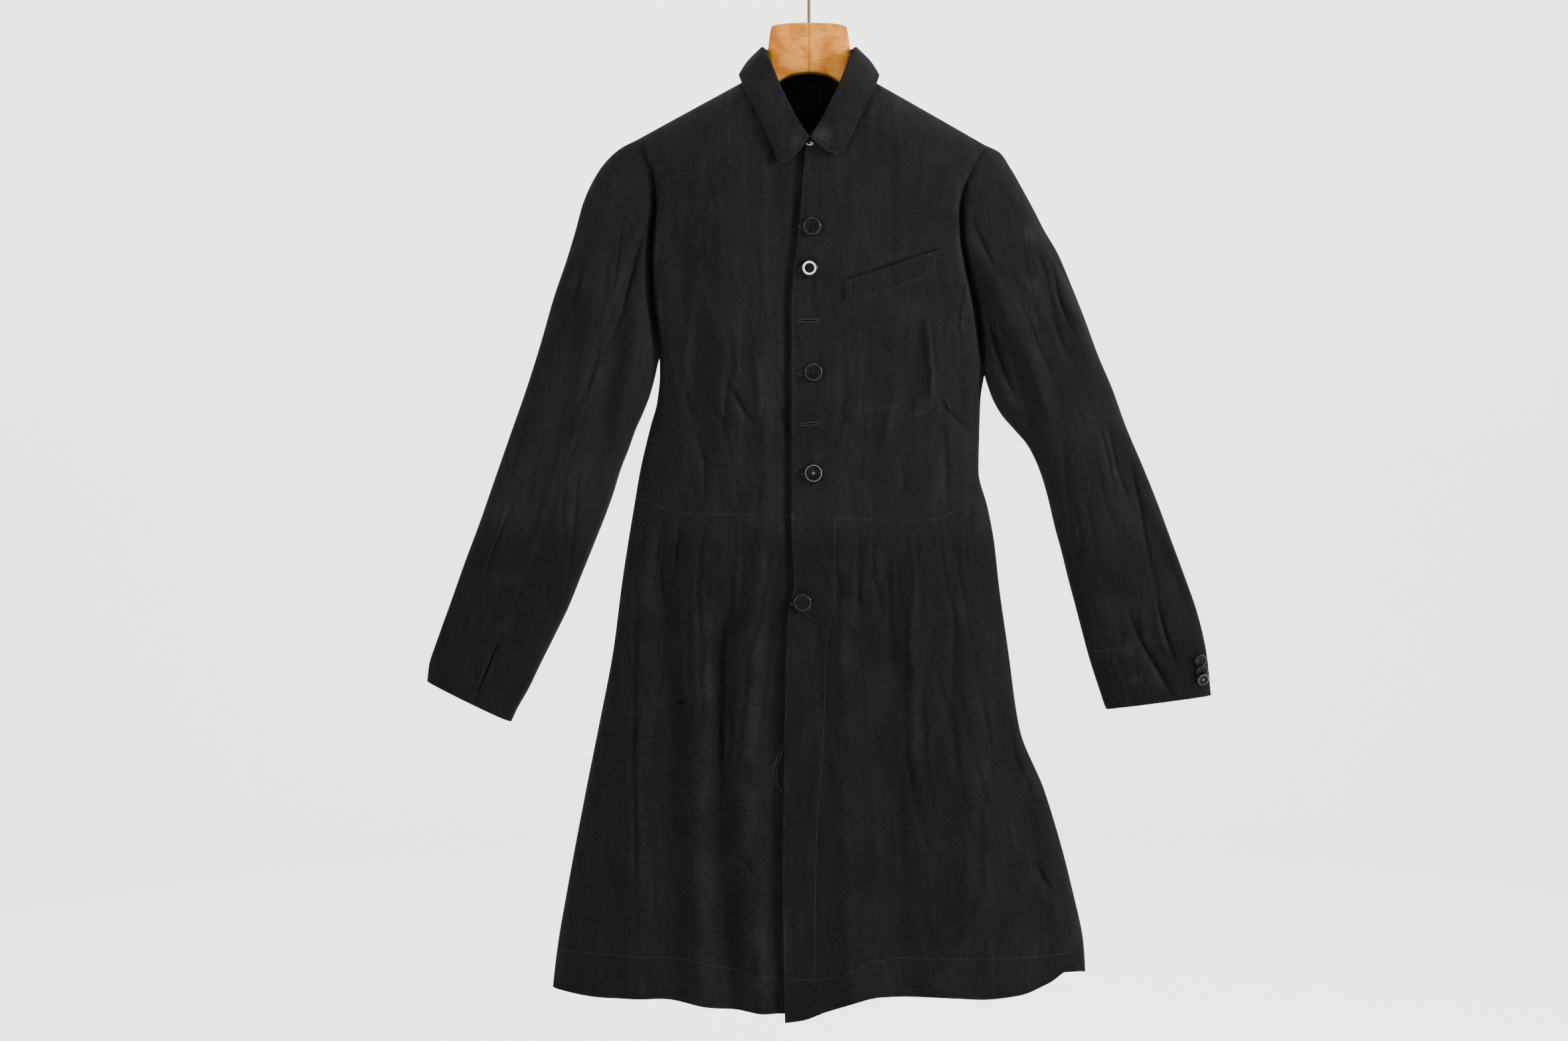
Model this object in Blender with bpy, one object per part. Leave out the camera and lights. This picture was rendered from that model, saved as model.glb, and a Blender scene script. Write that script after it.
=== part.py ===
"""A long buttoned work coat of dark cotton drill, hanging on a bent wooden hanger with a wire hook.

World frame: X to the right as seen from the front, Y away from the viewer, Z up.
The origin is the inside crest of the hook, where a rail carries the hanger.
Tables and sizes are in millimetres and become metres when a mesh is made.
"Right" and "left" in names are the wearer's, so the right front is at -X.
"""

import math
from collections import namedtuple

import bmesh
import bpy
import numpy as np

MM = 0.001

CLOTH = 1.4  # wall of each cloth panel
SEAM_GAP = 0.4  # between the edges of two panels that are sewn together
LAP_STEP = 3.4  # how far the right front lies behind the left one where they lap
UNDERLAP_X = 12.0  # hidden centre edge of the right front
LAP_SINK = (-52.0, -34.0)  # between these the right front sinks back behind the left one
LAP_MIDDLE = -8.0
LAP_FLAT = 24.0  # both fronts lie flat, without folds, this far from the lap's middle
NECK_HALF = 53.0  # centre to the side of the neck, where neck and shoulder seams meet
NECK_SIDE_Z = -132.0
NECK_FRONT_Z = -215.0
NECK_BACK_Z = -145.0
DOME_Z = -111.0  # where the body's outer form would close over the neck
SHOULDER_ROUND = 60.0  # depth below the shoulder ridge over which the form rounds out
SEAM_REST = 0.5  # points this close under the ridge lie in the middle plane
SECTION_POWER = 2.6  # squareness of the body's flattened section
SECTION_ROOT = 0.55

NECK_COLUMNS = 5
SHOULDER_COLUMNS = 7
BACK_NECK_COLUMNS = 6
ARMHOLE_ROWS = 9
SIDE_ROWS = 7
SKIRT_ROWS = 18
COLLAR_STATIONS = 26

# The body's outer form at each height: its two sides and how far it stands to the front and back.
Section = namedtuple("Section", "z left right front back")
BODY_SECTIONS = (
    Section(-100, -226, 228, 42, 24),
    Section(-250, -228, 232, 43, 24),
    Section(-335, -214, 226, 43, 24),
    Section(-400, -189, 211, 42, 23),
    Section(-441, -172.5, 205, 40, 22),
    Section(-447, -166, 203, 40, 22),
    Section(-468, -166.5, 196, 39, 22),
    Section(-500, -169, 191, 38, 21),
    Section(-530, -177, 190, 37, 20),
    Section(-577, -188, 189, 35, 19),
    Section(-618, -195, 199, 34, 19),
    Section(-654, -201, 206, 35, 20),
    Section(-707, -209, 212, 37, 22),
    Section(-777, -218, 222, 40, 24),
    Section(-866, -235, 235, 43, 27),
    Section(-936, -249, 263, 45, 29),
    Section(-1042, -269, 293, 47, 31),
    Section(-1113, -281, 307, 48, 32),
    Section(-1185, -289, 310, 48, 32),
)

# Seam lines drawn from the shoulder point down to the underarm.
SeamPoint = namedtuple("SeamPoint", "x z")
ARMHOLE_RIGHT = (
    SeamPoint(-192, -208), SeamPoint(-180, -232), SeamPoint(-172, -254), SeamPoint(-170, -280),
    SeamPoint(-172.5, -303), SeamPoint(-175.5, -335), SeamPoint(-174, -385), SeamPoint(-166, -447),
)
ARMHOLE_LEFT = (
    SeamPoint(197, -214), SeamPoint(182, -242), SeamPoint(173, -262), SeamPoint(168, -288),
    SeamPoint(169, -315), SeamPoint(175, -351), SeamPoint(186, -395), SeamPoint(196, -468),
)

# The free edge of the left front, which laps over the right one.
FRONT_EDGE = (
    SeamPoint(-3, -215), SeamPoint(-5.5, -233), SeamPoint(-10, -299), SeamPoint(-16, -350),
    SeamPoint(-19.5, -402), SeamPoint(-19.5, -637), SeamPoint(-17, -704), SeamPoint(-23, -734),
    SeamPoint(-27.5, -881), SeamPoint(-29, -1020), SeamPoint(-27, -1184),
)

WAIST_RIGHT = (SeamPoint(12, -628), SeamPoint(-120, -627), SeamPoint(-160, -620), SeamPoint(-193, -604))
WAIST_LEFT = (SeamPoint(-19.5, -630), SeamPoint(130, -632), SeamPoint(170, -618), SeamPoint(193.5, -598))
HEM_RIGHT = (
    SeamPoint(12, -1176), SeamPoint(-47, -1174), SeamPoint(-104, -1168), SeamPoint(-173, -1159),
    SeamPoint(-226, -1160), SeamPoint(-286, -1154),
)
HEM_LEFT = (
    SeamPoint(-27, -1184), SeamPoint(-6, -1181), SeamPoint(18, -1172), SeamPoint(83, -1156),
    SeamPoint(140, -1156), SeamPoint(193, -1160), SeamPoint(230, -1157), SeamPoint(265, -1146),
    SeamPoint(290, -1132), SeamPoint(308.5, -1137),
)
BACK_WAIST_DIP = 10.0  # the back's waist seam sags this much between the side seams
BACK_HEM_DIP = 6.0

# Sleeve stations from the armhole to the wrist: the outer and inner point of each section, and
# how far it stands forward and back of its middle.
Station = namedtuple("Station", "out_x out_z in_x in_z front back")
SLEEVE_RIGHT = (
    Station(-192, -208, -166, -447, 36, 21), Station(-210, -217.5, -169, -456, 34, 22),
    Station(-226.5, -232.5, -173, -474, 32, 22), Station(-239.5, -251.5, -179, -495, 30, 22),
    Station(-251.5, -278, -186.5, -514, 28, 22), Station(-261, -312, -194.5, -532, 27, 22),
    Station(-270.5, -343, -202, -553, 26, 22), Station(-284.5, -384, -211, -576, 26, 22),
    Station(-298.5, -433, -219, -602, 26, 22), Station(-314.5, -484, -228, -627, 26, 22),
    Station(-333, -537, -239.5, -656, 25, 22), Station(-350.5, -587, -254.5, -693, 25, 22),
    Station(-367.5, -636, -269, -729, 24, 21), Station(-384, -680, -284, -760, 23, 20),
    Station(-399.5, -724, -301, -794, 22, 19), Station(-412.5, -760, -314, -821, 21, 18),
    Station(-424, -795, -326.5, -843, 20, 17), Station(-426, -812.5, -333, -857, 19, 16),
)
SLEEVE_LEFT = (
    Station(197, -214, 196, -468, 36, 21), Station(212.5, -222, 200, -481.5, 34, 22),
    Station(225.5, -241, 206, -497.5, 32, 22), Station(239, -265, 216, -515, 30, 22),
    Station(250, -285.5, 229.5, -530.5, 28, 22), Station(262.5, -310, 244, -547.5, 27, 22),
    Station(276.5, -334, 253, -564, 26, 22), Station(291.5, -369.5, 261, -584.5, 26, 22),
    Station(306, -406, 268.5, -611, 26, 22), Station(320.5, -446, 275, -639, 26, 22),
    Station(337.5, -486, 283, -668.5, 25, 22), Station(352.5, -527.5, 291, -701, 25, 22),
    Station(371, -571, 298.5, -729, 24, 21), Station(388, -613, 306, -758, 23, 20),
    Station(403, -653.5, 314, -787.5, 22, 19), Station(419.5, -698, 321.5, -811, 21, 18),
    Station(433, -737, 327.5, -829, 20, 17), Station(443, -781, 331, -839.5, 19, 16),
    Station(448, -827.5, 333, -843.5, 18, 15),
)
RIGHT_FORE_SEAM = 4  # section point, from the shoulder down the front, where the fore seam starts
LEFT_FORE_SEAM = 7
HIND_SEAM = 5  # the same down the back
RIGHT_SEAM_DRIFT = 0.15  # share of the section that the seam slides inwards on its way down
LEFT_SEAM_DRIFT = -0.2

# Half of the collar, from its front end to the centre back. "turn" is the way the fall faces, in
# degrees from straight ahead.
CollarRow = namedtuple("CollarRow", "seam_x roll_x roll_z edge_x edge_y edge_z turn")
COLLAR = (
    CollarRow(1, 1, -209, 33.5, -46.5, -235, 0),
    CollarRow(12, 9.5, -194, 43, -46.5, -215, 6),
    CollarRow(22, 18.5, -177.5, 52.5, -46, -195, 12),
    CollarRow(32, 28, -157, 63.5, -42, -173.5, 20),
    CollarRow(41, 37, -137, 74, -27, -153, 32),
    CollarRow(48, 45, -120, 78, -13, -143, 52),
    CollarRow(53, 50.5, -109, 78.5, 1, -140, 90),
    CollarRow(46, 45, -109, 73, 15, -146, 132),
    CollarRow(28, 28, -110, 44, 26, -153, 162),
    CollarRow(0, 0, -111, 0, 29, -154, 180),
)
ROLL_HALF = 1.9  # half the width of the collar's folded top edge
ROLL_RISE = 1.2
COLLAR_GAP = 1.1  # from the neck edge up to the start of the stand

# Soft folds: a ridge (positive height) or trough along a line of points, on the front or the back.
Fold = namedtuple("Fold", "height width points")
RIGHT_FRONT_FOLDS = (
    Fold(5, 16, ((-181, -632), (-187, -720), (-189, -900), (-188, -1160))),
    Fold(-5, 15, ((-156, -640), (-160, -694), (-152, -760), (-150, -1100))),
    Fold(4, 14, ((-119, -650), (-123, -706), (-119, -780), (-116, -1160))),
    Fold(-8, 16, ((-88, -720), (-96, -783), (-97, -940), (-80, -1165))),
    Fold(5, 15, ((-40, -640), (-51, -722), (-64, -790), (-66, -960), (-50, -1170))),
    Fold(-5, 18, ((-30, -660), (-32, -900), (-26, -1170))),
    Fold(-4, 16, ((-150, -300), (-128, -420), (-120, -560))),
    Fold(3, 16, ((-95, -260), (-86, -420), (-84, -600))),
)
LEFT_FRONT_FOLDS = (
    Fold(-5, 18, ((212, -810), (222, -890), (240, -960), (262, -1110))),
    Fold(5, 20, ((190, -760), (182, -950), (182, -1040), (150, -1140))),
    Fold(-4, 18, ((95, -700), (92, -900), (104, -1150))),
    Fold(4, 18, ((40, -720), (38, -900), (48, -1160))),
    Fold(3, 12, ((131, -400), (135, -470), (128, -512))),
    Fold(-4, 16, ((150, -440), (168, -520), (186, -556))),
    Fold(-3, 16, ((60, -420), (66, -520), (62, -610))),
)
BACK_FOLDS = (
    Fold(6, 22, ((-150, -640), (-168, -900), (-180, -1150))),
    Fold(-6, 20, ((-92, -660), (-104, -900), (-112, -1150))),
    Fold(7, 22, ((-30, -640), (-36, -900), (-42, -1150))),
    Fold(-7, 22, ((28, -650), (34, -900), (38, -1150))),
    Fold(6, 20, ((92, -640), (108, -900), (120, -1150))),
    Fold(-6, 22, ((150, -660), (178, -900), (204, -1150))),
    Fold(-4, 20, ((-120, -300), (-108, -440), (-112, -600))),
    Fold(-4, 20, ((120, -300), (108, -440), (110, -600))),
)

# Drag folds of the sleeves, drawn as section point against station.
SleeveFold = namedtuple("SleeveFold", "height width start_point start_station end_point end_station")
RIGHT_SLEEVE_FOLDS = (
    SleeveFold(4, 0.7, 2.0, 1.5, 4.0, 9.0),
    SleeveFold(-5, 0.7, 4.6, 1.0, 5.6, 9.0),
    SleeveFold(5, 0.8, 6.4, 1.0, 6.6, 6.5),
    SleeveFold(-4, 0.8, 3.0, 5.0, 3.6, 14.0),
)
LEFT_SLEEVE_FOLDS = (
    SleeveFold(5, 0.7, 4.5, 1.0, 6.6, 7.0),
    SleeveFold(-5, 0.7, 5.8, 1.0, 7.6, 7.0),
    SleeveFold(4, 0.8, 2.2, 2.0, 3.2, 9.0),
    SleeveFold(-4, 0.8, 4.0, 10.0, 3.0, 16.0),
)

WELT = (SeamPoint(39.5, -370), SeamPoint(40, -391.5), SeamPoint(144, -356), SeamPoint(146, -333.5))
WELT_THICK = 1.2
WELT_COLUMNS = 8
WELT_ROWS = 2

BUTTON_RADIUS = 10.2
BUTTON_THICK = 3.4
BUTTON_RIM = 0.7  # height of the raised rim over the dished centre
FRONT_BUTTONS = (
    SeamPoint(3, -310), SeamPoint(0, -356), SeamPoint(4.5, -470), SeamPoint(4.5, -581), SeamPoint(-7.5, -723.5),
)
CUFF_BUTTON_RADIUS = 7.0
CUFF_BUTTON_THICK = 2.4
CUFF_BUTTON_TILT = 24.0  # degrees; the three lie on one another like shingles
CUFF_BUTTON_LIFT = 3.75
CuffPlace = namedtuple("CuffPlace", "station share")
CUFF_BUTTONS = (CuffPlace(17.05, 0.09), CuffPlace(17.33, 0.09), CuffPlace(17.55, 0.085))
BUTTON_SIDES = 16

# The hanger's wood from its middle to an arm's tip.
WoodRow = namedtuple("WoodRow", "x top bottom half_depth")
HANGER_BLOCK = (
    WoodRow(0, -80.5, -138, 9), WoodRow(18, -81, -140.5, 9), WoodRow(33, -82, -148, 9),
    WoodRow(42, -84, -154, 8), WoodRow(44.6, -96, -156.5, 6.2), WoodRow(46.2, -110, -158, 4.6),
)
ARM_START = 46.9
ARM_END = 181.0
ARM_STATIONS = 6
ARM_HEIGHT_START = 27.0
ARM_HEIGHT_END = 17.0
ARM_HALF_START = 5.6  # half depth of the arm
ARM_HALF_END = 5.0
ARM_SEAT = CLOTH / 2 + 2.0  # from the shoulder seam's middle down to the wood
ARM_CROWN = ((0.8, 0.0), (3.0, 3.8))  # the arm's narrow top: half width and drop of its corners
ARM_SHOULDER_DROP = 12.0  # where the arm reaches its full width
WOOD_EDGE = 3.0  # rounding of the wood's long edges

HOOK_WIRE = 1.9  # radius
HOOK_LOOP = 19.0  # radius of the loop's middle line
HOOK_SOCKET = 24.0  # depth of the hole in the wood
HOOK_CLEARANCE = 0.3
HOOK_SIDES = 12

CollarHook = namedtuple("CollarHook", "x y z")
COLLAR_HOOK_PATH = (
    CollarHook(-3.4, -44.65, -219), CollarHook(-0.5, -44.65, -221), CollarHook(2.6, -44.65, -220.6),
    CollarHook(4.2, -44.65, -218.6), CollarHook(2.8, -44.65, -216.8), CollarHook(0.2, -44.65, -216.6),
)
COLLAR_HOOK_WIRE = 0.6

Finish = namedtuple("Finish", "colour roughness metallic")
DRILL = Finish((0.016, 0.016, 0.018), 0.92, 0.0)
HORN = Finish((0.012, 0.012, 0.013), 0.28, 0.0)
WOOD = Finish((0.60, 0.36, 0.15), 0.5, 0.0)
STEEL = Finish((0.42, 0.38, 0.34), 0.38, 1.0)
BRASS = Finish((0.78, 0.70, 0.52), 0.42, 1.0)


def smooth(keys, values, at):
    """Values read along a curve that passes smoothly through the table and never overshoots it."""
    keys = np.asarray(keys, float)
    values = np.asarray(values, float)
    steps = np.diff(keys)
    slopes = np.diff(values) / steps
    tangents = np.zeros(len(keys))
    tangents[0], tangents[-1] = slopes[0], slopes[-1]
    for i in range(1, len(keys) - 1):
        before, after = slopes[i - 1], slopes[i]
        if before * after > 0:
            tangents[i] = 2 * before * after / (before + after)
    at = np.clip(np.asarray(at, float), keys[0], keys[-1])
    left = np.clip(np.searchsorted(keys, at, side="right") - 1, 0, len(steps) - 1)
    step = steps[left]
    u = (at - keys[left]) / step
    start = values[left] * (1 + 2 * u) * (1 - u) ** 2 + tangents[left] * step * u * (1 - u) ** 2
    end = values[left + 1] * u * u * (3 - 2 * u) + tangents[left + 1] * step * u * u * (u - 1)
    return start + end


def column(table, name):
    return [getattr(row, name) for row in table]


def section_value(name, z):
    rows = BODY_SECTIONS[::-1]
    return smooth(column(rows, "z"), column(rows, name), z)


def ease(value, start, end):
    """0 at start, 1 at end, smooth between them."""
    u = np.clip((value - start) / (end - start), 0.0, 1.0)
    return u * u * (3 - 2 * u)


def ridge_z(x):
    """Height of the body's upper edge: the shoulder seams, closed by a low dome over the neck."""
    side = np.where(x < 0, 0.545, 0.569)
    shoulder = NECK_SIDE_Z - (np.abs(x) - NECK_HALF) * side
    dome = DOME_Z + (NECK_SIDE_Z - DOME_Z) * (x / NECK_HALF) ** 2
    return np.where(np.abs(x) > NECK_HALF, shoulder, dome)


def body_y(x, z, back):
    """Depth of the body's surface at (x, z), ahead of or behind its middle plane."""
    left, right = section_value("left", z), section_value("right", z)
    middle, half = (left + right) / 2, (right - left) / 2
    across = np.clip(np.abs((x - middle) / half), 0, 1)
    section = (1 - across**SECTION_POWER) ** SECTION_ROOT
    down = np.clip((ridge_z(x) - z - SEAM_REST) / SHOULDER_ROUND, 0, 1)
    rounding = np.sqrt(1 - (1 - down) ** 2)
    if back:
        return section_value("back", z) * section * rounding
    return -section_value("front", z) * section * rounding


def along(line, shares):
    """Points of an (x, z) line at shares of its length, rounded at its corners."""
    points = np.array([(p.x, p.z) for p in line], float)
    lengths = np.concatenate([[0], np.cumsum(np.hypot(*np.diff(points, axis=0).T))])
    shares = np.asarray(shares) * lengths[-1]
    return np.stack([smooth(lengths, points[:, i], shares) for i in (0, 1)], axis=-1)


def round_shares(count):
    """Shares that crowd towards both ends, as points round a half circle seen from the side."""
    return (1 - np.cos(np.linspace(0, math.pi, count + 1))) / 2


def crowd_end(count, strength=0.35):
    """Shares that crowd towards the end, where the cloth turns round the side."""
    even = np.linspace(0, 1, count + 1)
    return even + strength * (np.sin(even * math.pi / 2) - even)


def neck_front_z(outward):
    return NECK_FRONT_Z + (NECK_SIDE_Z - NECK_FRONT_Z) * np.clip(outward / NECK_HALF, 0, 1)


def neck_back_z(x):
    return NECK_BACK_Z + (NECK_SIDE_Z - NECK_BACK_Z) * (np.abs(x) / NECK_HALF) ** 2


def shoulder_line(side, shares):
    tip = np.array(ARMHOLE_RIGHT[0] if side < 0 else ARMHOLE_LEFT[0], float)
    root = np.array((side * NECK_HALF, NECK_SIDE_Z))
    return root + (tip - root) * np.asarray(shares)[:, None]


def side_line(side, shares, top_z, bottom_z):
    z = top_z + (bottom_z - top_z) * np.asarray(shares)
    return np.stack([section_value("left" if side < 0 else "right", z), z], axis=-1)


def coons(top, bottom, start, end):
    """A grid filled in between four edges: rows run from top to bottom, columns from start to end."""
    rows = np.linspace(0, 1, len(start))[:, None, None]
    cols = np.linspace(0, 1, len(top))[None, :, None]
    ruled = (1 - rows) * top[None] + rows * bottom[None] + (1 - cols) * start[:, None] + cols * end[:, None]
    corners = (1 - rows) * ((1 - cols) * top[0] + cols * top[-1]) + rows * ((1 - cols) * bottom[0] + cols * bottom[-1])
    return ruled - corners


def fold_lift(x, z, folds):
    """Height of the soft folds at each point, fading at the ends of each fold."""
    lift = np.zeros_like(x)
    for fold in folds:
        points = np.array(fold.points, float)
        z_down = -points[:, 1]
        centre = smooth(z_down, points[:, 0], -z)
        fade_in = ease(-z, z_down[0] - fold.width, z_down[0] + 3 * fold.width)
        reaches_hem = points[-1, 1] < -1100
        fade_out = 1.0 if reaches_hem else 1 - ease(-z, z_down[-1] - 3 * fold.width, z_down[-1] + fold.width)
        lift += fold.height * np.exp(-(((x - centre) / fold.width) ** 2)) * fade_in * fade_out
    return lift


def edge_fade(x, z, folds):
    """Folds die away towards the body's sides, so that the two panels meet there."""
    left, right = section_value("left", z), section_value("right", z)
    inside = np.minimum(x - left, right - x)
    return fold_lift(x, z, folds) * ease(inside, 0, 26)


def body_grid(flat, back, folds, under=False):
    """Gives an (x, z) grid its depth."""
    x, z = flat[..., 0], flat[..., 1]
    y = body_y(x, z, back)
    lift = edge_fade(x, z, folds)
    if not back:
        lift = lift * ease(np.abs(x - LAP_MIDDLE), LAP_FLAT, 2 * LAP_FLAT)
    y = y + lift if back else y - lift
    if under:
        y = y + LAP_STEP * ease(x, *LAP_SINK)
    return np.stack([x, y, z], axis=-1)


def armhole_shares():
    return round_shares(ARMHOLE_ROWS)


def outer_edge(side):
    """Armhole and side seam of a bodice, from the shoulder point to the waist."""
    armhole = along(ARMHOLE_RIGHT if side < 0 else ARMHOLE_LEFT, armhole_shares())
    waist = (WAIST_RIGHT if side < 0 else WAIST_LEFT)[-1]
    seam = side_line(side, np.linspace(0, 1, SIDE_ROWS + 1), armhole[-1, 1], waist.z)
    return np.concatenate([armhole, seam[1:]])


def front_edge(side, z):
    if side < 0:
        return np.full_like(z, UNDERLAP_X)
    rows = FRONT_EDGE[::-1]
    return smooth(column(rows, "z"), column(rows, "x"), z)


def front_bodice(side):
    centre_x = UNDERLAP_X if side < 0 else FRONT_EDGE[0].x
    neck_x = np.concatenate([[centre_x], np.linspace(0, side * NECK_HALF, NECK_COLUMNS)])
    neck = np.stack([neck_x, neck_front_z(neck_x * side)], axis=-1)
    shoulder = shoulder_line(side, crowd_end(SHOULDER_COLUMNS, 0.2))
    top = np.concatenate([neck, shoulder[1:]])
    waist = WAIST_RIGHT if side < 0 else WAIST_LEFT
    bottom = along(waist, crowd_end(NECK_COLUMNS + SHOULDER_COLUMNS))
    end = outer_edge(side)
    edge_z = np.linspace(top[0, 1], bottom[0, 1], len(end))
    start = np.stack([front_edge(side, edge_z), edge_z], axis=-1)
    bottom[0] = start[-1]
    return coons(top, bottom, start, end)


def front_skirt(side, bodice):
    top = bodice[-1]
    hem = HEM_RIGHT if side < 0 else HEM_LEFT
    bottom = along(hem, crowd_end(len(top) - 1))
    start_z = np.linspace(top[0, 1], hem[0].z, SKIRT_ROWS + 1)
    start = np.stack([front_edge(side, start_z), start_z], axis=-1)
    end = side_line(side, np.linspace(0, 1, SKIRT_ROWS + 1), top[-1, 1], hem[-1].z)
    bottom[0], bottom[-1] = start[-1], end[-1]
    return coons(top, bottom, start, end)


def back_bodice():
    right, left = outer_edge(-1), outer_edge(1)
    shoulder_shares = crowd_end(SHOULDER_COLUMNS, 0.2)
    right_shoulder = shoulder_line(-1, shoulder_shares)[::-1]
    left_shoulder = shoulder_line(1, shoulder_shares)
    neck_x = np.linspace(-NECK_HALF, NECK_HALF, BACK_NECK_COLUMNS + 1)[1:-1]
    neck = np.stack([neck_x, neck_back_z(neck_x)], axis=-1)
    top = np.concatenate([right_shoulder, neck, left_shoulder])
    shares = round_shares(len(top) - 1)
    mixed = 0.45 * shares + 0.55 * np.linspace(0, 1, len(top))
    bottom = right[-1] + (left[-1] - right[-1]) * mixed[:, None]
    bottom[:, 1] -= BACK_WAIST_DIP * np.sin(mixed * math.pi)
    return coons(top, bottom, right, left)


def back_skirt(bodice):
    top = bodice[-1]
    rows = np.linspace(0, 1, SKIRT_ROWS + 1)
    right = side_line(-1, rows, top[0, 1], HEM_RIGHT[-1].z)
    left = side_line(1, rows, top[-1, 1], HEM_LEFT[-1].z)
    shares = np.clip((top[:, 0] - top[0, 0]) / (top[-1, 0] - top[0, 0]), 0, 1)
    bottom = right[-1] + (left[-1] - right[-1]) * shares[:, None]
    bottom[:, 1] -= (BACK_HEM_DIP + 8) * np.sin(shares * math.pi) ** 0.7
    return coons(top, bottom, right, left)


def sleeve_rings(side, front_edge_points, back_edge_points):
    """Closed sections of a sleeve: the armhole itself, easing into flattened tubes down the arm."""
    stations = SLEEVE_RIGHT if side < 0 else SLEEVE_LEFT
    drift = RIGHT_SEAM_DRIFT if side < 0 else LEFT_SEAM_DRIFT
    folds = RIGHT_SLEEVE_FOLDS if side < 0 else LEFT_SLEEVE_FOLDS
    turn = np.linspace(0, math.pi, ARMHOLE_ROWS + 1)
    armhole = np.concatenate([front_edge_points, back_edge_points[1:-1][::-1]])
    spread = None
    rings = []
    for k, station in enumerate(stations):
        ramp = ease(k, 1, 9)
        shares = (1 - np.cos(turn)) / 2 + drift * ramp * np.sin(turn) ** 2
        outer = np.array((station.out_x, station.out_z), float)
        inner = np.array((station.in_x, station.in_z), float)
        flat = outer + (inner - outer) * shares[:, None]
        swell = np.sin(turn) ** 0.8
        front = np.stack([flat[:, 0], -station.front * swell, flat[:, 1]], axis=-1)
        back = np.stack([flat[:, 0], station.back * swell, flat[:, 1]], axis=-1)
        ring = np.concatenate([front, back[1:-1][::-1]])
        if spread is None:
            spread = armhole - ring
        ring = ring + spread * max(0.0, 1 - k / 4) ** 1.5
        for fold in folds:
            share = (k - fold.start_station) / (fold.end_station - fold.start_station)
            centre = fold.start_point + (fold.end_point - fold.start_point) * share
            strength = fold.height * ease(share, -0.1, 0.25) * (1 - ease(share, 0.75, 1.1))
            points = np.arange(len(ring))
            on_front = (points > 0) & (points < ARMHOLE_ROWS)
            bump = strength * np.exp(-(((points - centre) / fold.width) ** 2))
            ring[:, 1] -= np.where(on_front, bump, 0)
            behind = (points > ARMHOLE_ROWS) & (points < len(ring))
            mirrored = np.exp(-(((len(ring) - points - centre) / fold.width) ** 2))
            ring[:, 1] += np.where(behind, strength * mirrored * 0.6, 0)
        rings.append(ring)
    return np.array(rings)


def split_sleeve(rings, side):
    """Upper and under sleeve: the same rings cut along the fore seam and the hind seam."""
    count = rings.shape[1]
    fore = RIGHT_FORE_SEAM if side < 0 else LEFT_FORE_SEAM
    hind = count - HIND_SEAM
    upper = [i % count for i in range(hind, count + fore + 1)]
    under = list(range(fore, hind + 1))
    return rings[:, upper], rings[:, under]


def collar_grid():
    """The collar's middle surface: rows run round the neck, columns from the neck seam over the roll to the edge."""
    half = len(COLLAR) - 1
    keys = np.linspace(0, 1, half + 1)
    shares = np.linspace(-1, 1, COLLAR_STATIONS + 1)
    at = 1 - np.abs(shares)
    value = {name: smooth(keys, column(COLLAR, name), at) for name in CollarRow._fields}
    side = np.where(shares <= 0, -1.0, 1.0)
    seam_x = side * value["seam_x"]
    behind = value["turn"] > 90
    seam_z = np.where(behind, neck_back_z(seam_x), neck_front_z(value["seam_x"]))
    seam_y = np.where(behind, body_y(seam_x, seam_z, True), body_y(seam_x, seam_z, False))
    turn = np.radians(value["turn"])
    outward = np.stack([side * np.sin(turn), -np.cos(turn), np.zeros_like(turn)], axis=-1)
    seam = np.stack([seam_x, seam_y, seam_z], axis=-1)
    roll = np.stack([side * value["roll_x"], seam_y, value["roll_z"]], axis=-1) + outward * ROLL_HALF
    edge = np.stack([side * value["edge_x"], value["edge_y"], value["edge_z"]], axis=-1)
    rise = np.array((0, 0, ROLL_RISE))
    inside, outside = roll - outward * ROLL_HALF, roll + outward * ROLL_HALF
    climb = inside - seam
    climb /= np.linalg.norm(climb, axis=-1, keepdims=True)
    seam = seam + climb * COLLAR_GAP
    columns = [seam, (seam + inside) / 2, inside, roll + rise, outside]
    for share in (0.25, 0.5, 0.75, 1.0):
        crown = outward * 1.6 * math.sin(math.pi * share)
        columns.append(outside + (edge - outside) * share + crown)
    return np.stack(columns, axis=1)


def key_of(point):
    return tuple(np.round(point, 3))


def grid_normals(grids):
    """Normals of every grid point, shared where grids meet at a seam."""
    shared = {}
    for grid in grids:
        cross = np.cross(grid[1:, 1:] - grid[:-1, :-1], grid[:-1, 1:] - grid[1:, :-1])
        for i in range(cross.shape[0]):
            for j in range(cross.shape[1]):
                for di, dj in ((0, 0), (0, 1), (1, 0), (1, 1)):
                    key = key_of(grid[i + di, j + dj])
                    shared[key] = shared.get(key, 0) + cross[i, j]
    result = []
    for grid in grids:
        normals = np.array([[shared[key_of(p)] for p in row] for row in grid])
        result.append(normals / np.linalg.norm(normals, axis=-1, keepdims=True))
    return result


def pulled_in(grid, amount):
    """The grid with its outer points moved inwards, square to each edge."""
    moved = grid.copy()
    for axis in (0, 1):
        lines = np.moveaxis(grid, axis, 0)
        out = np.moveaxis(moved, axis, 0)
        for edge, inner in ((0, 1), (-1, -2)):
            tangent = np.gradient(lines[edge], axis=0)
            tangent /= np.linalg.norm(tangent, axis=-1, keepdims=True)
            inward = lines[inner] - lines[edge]
            inward -= tangent * np.sum(inward * tangent, axis=-1, keepdims=True)
            out[edge] += inward / np.linalg.norm(inward, axis=-1, keepdims=True) * amount
    return moved


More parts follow.
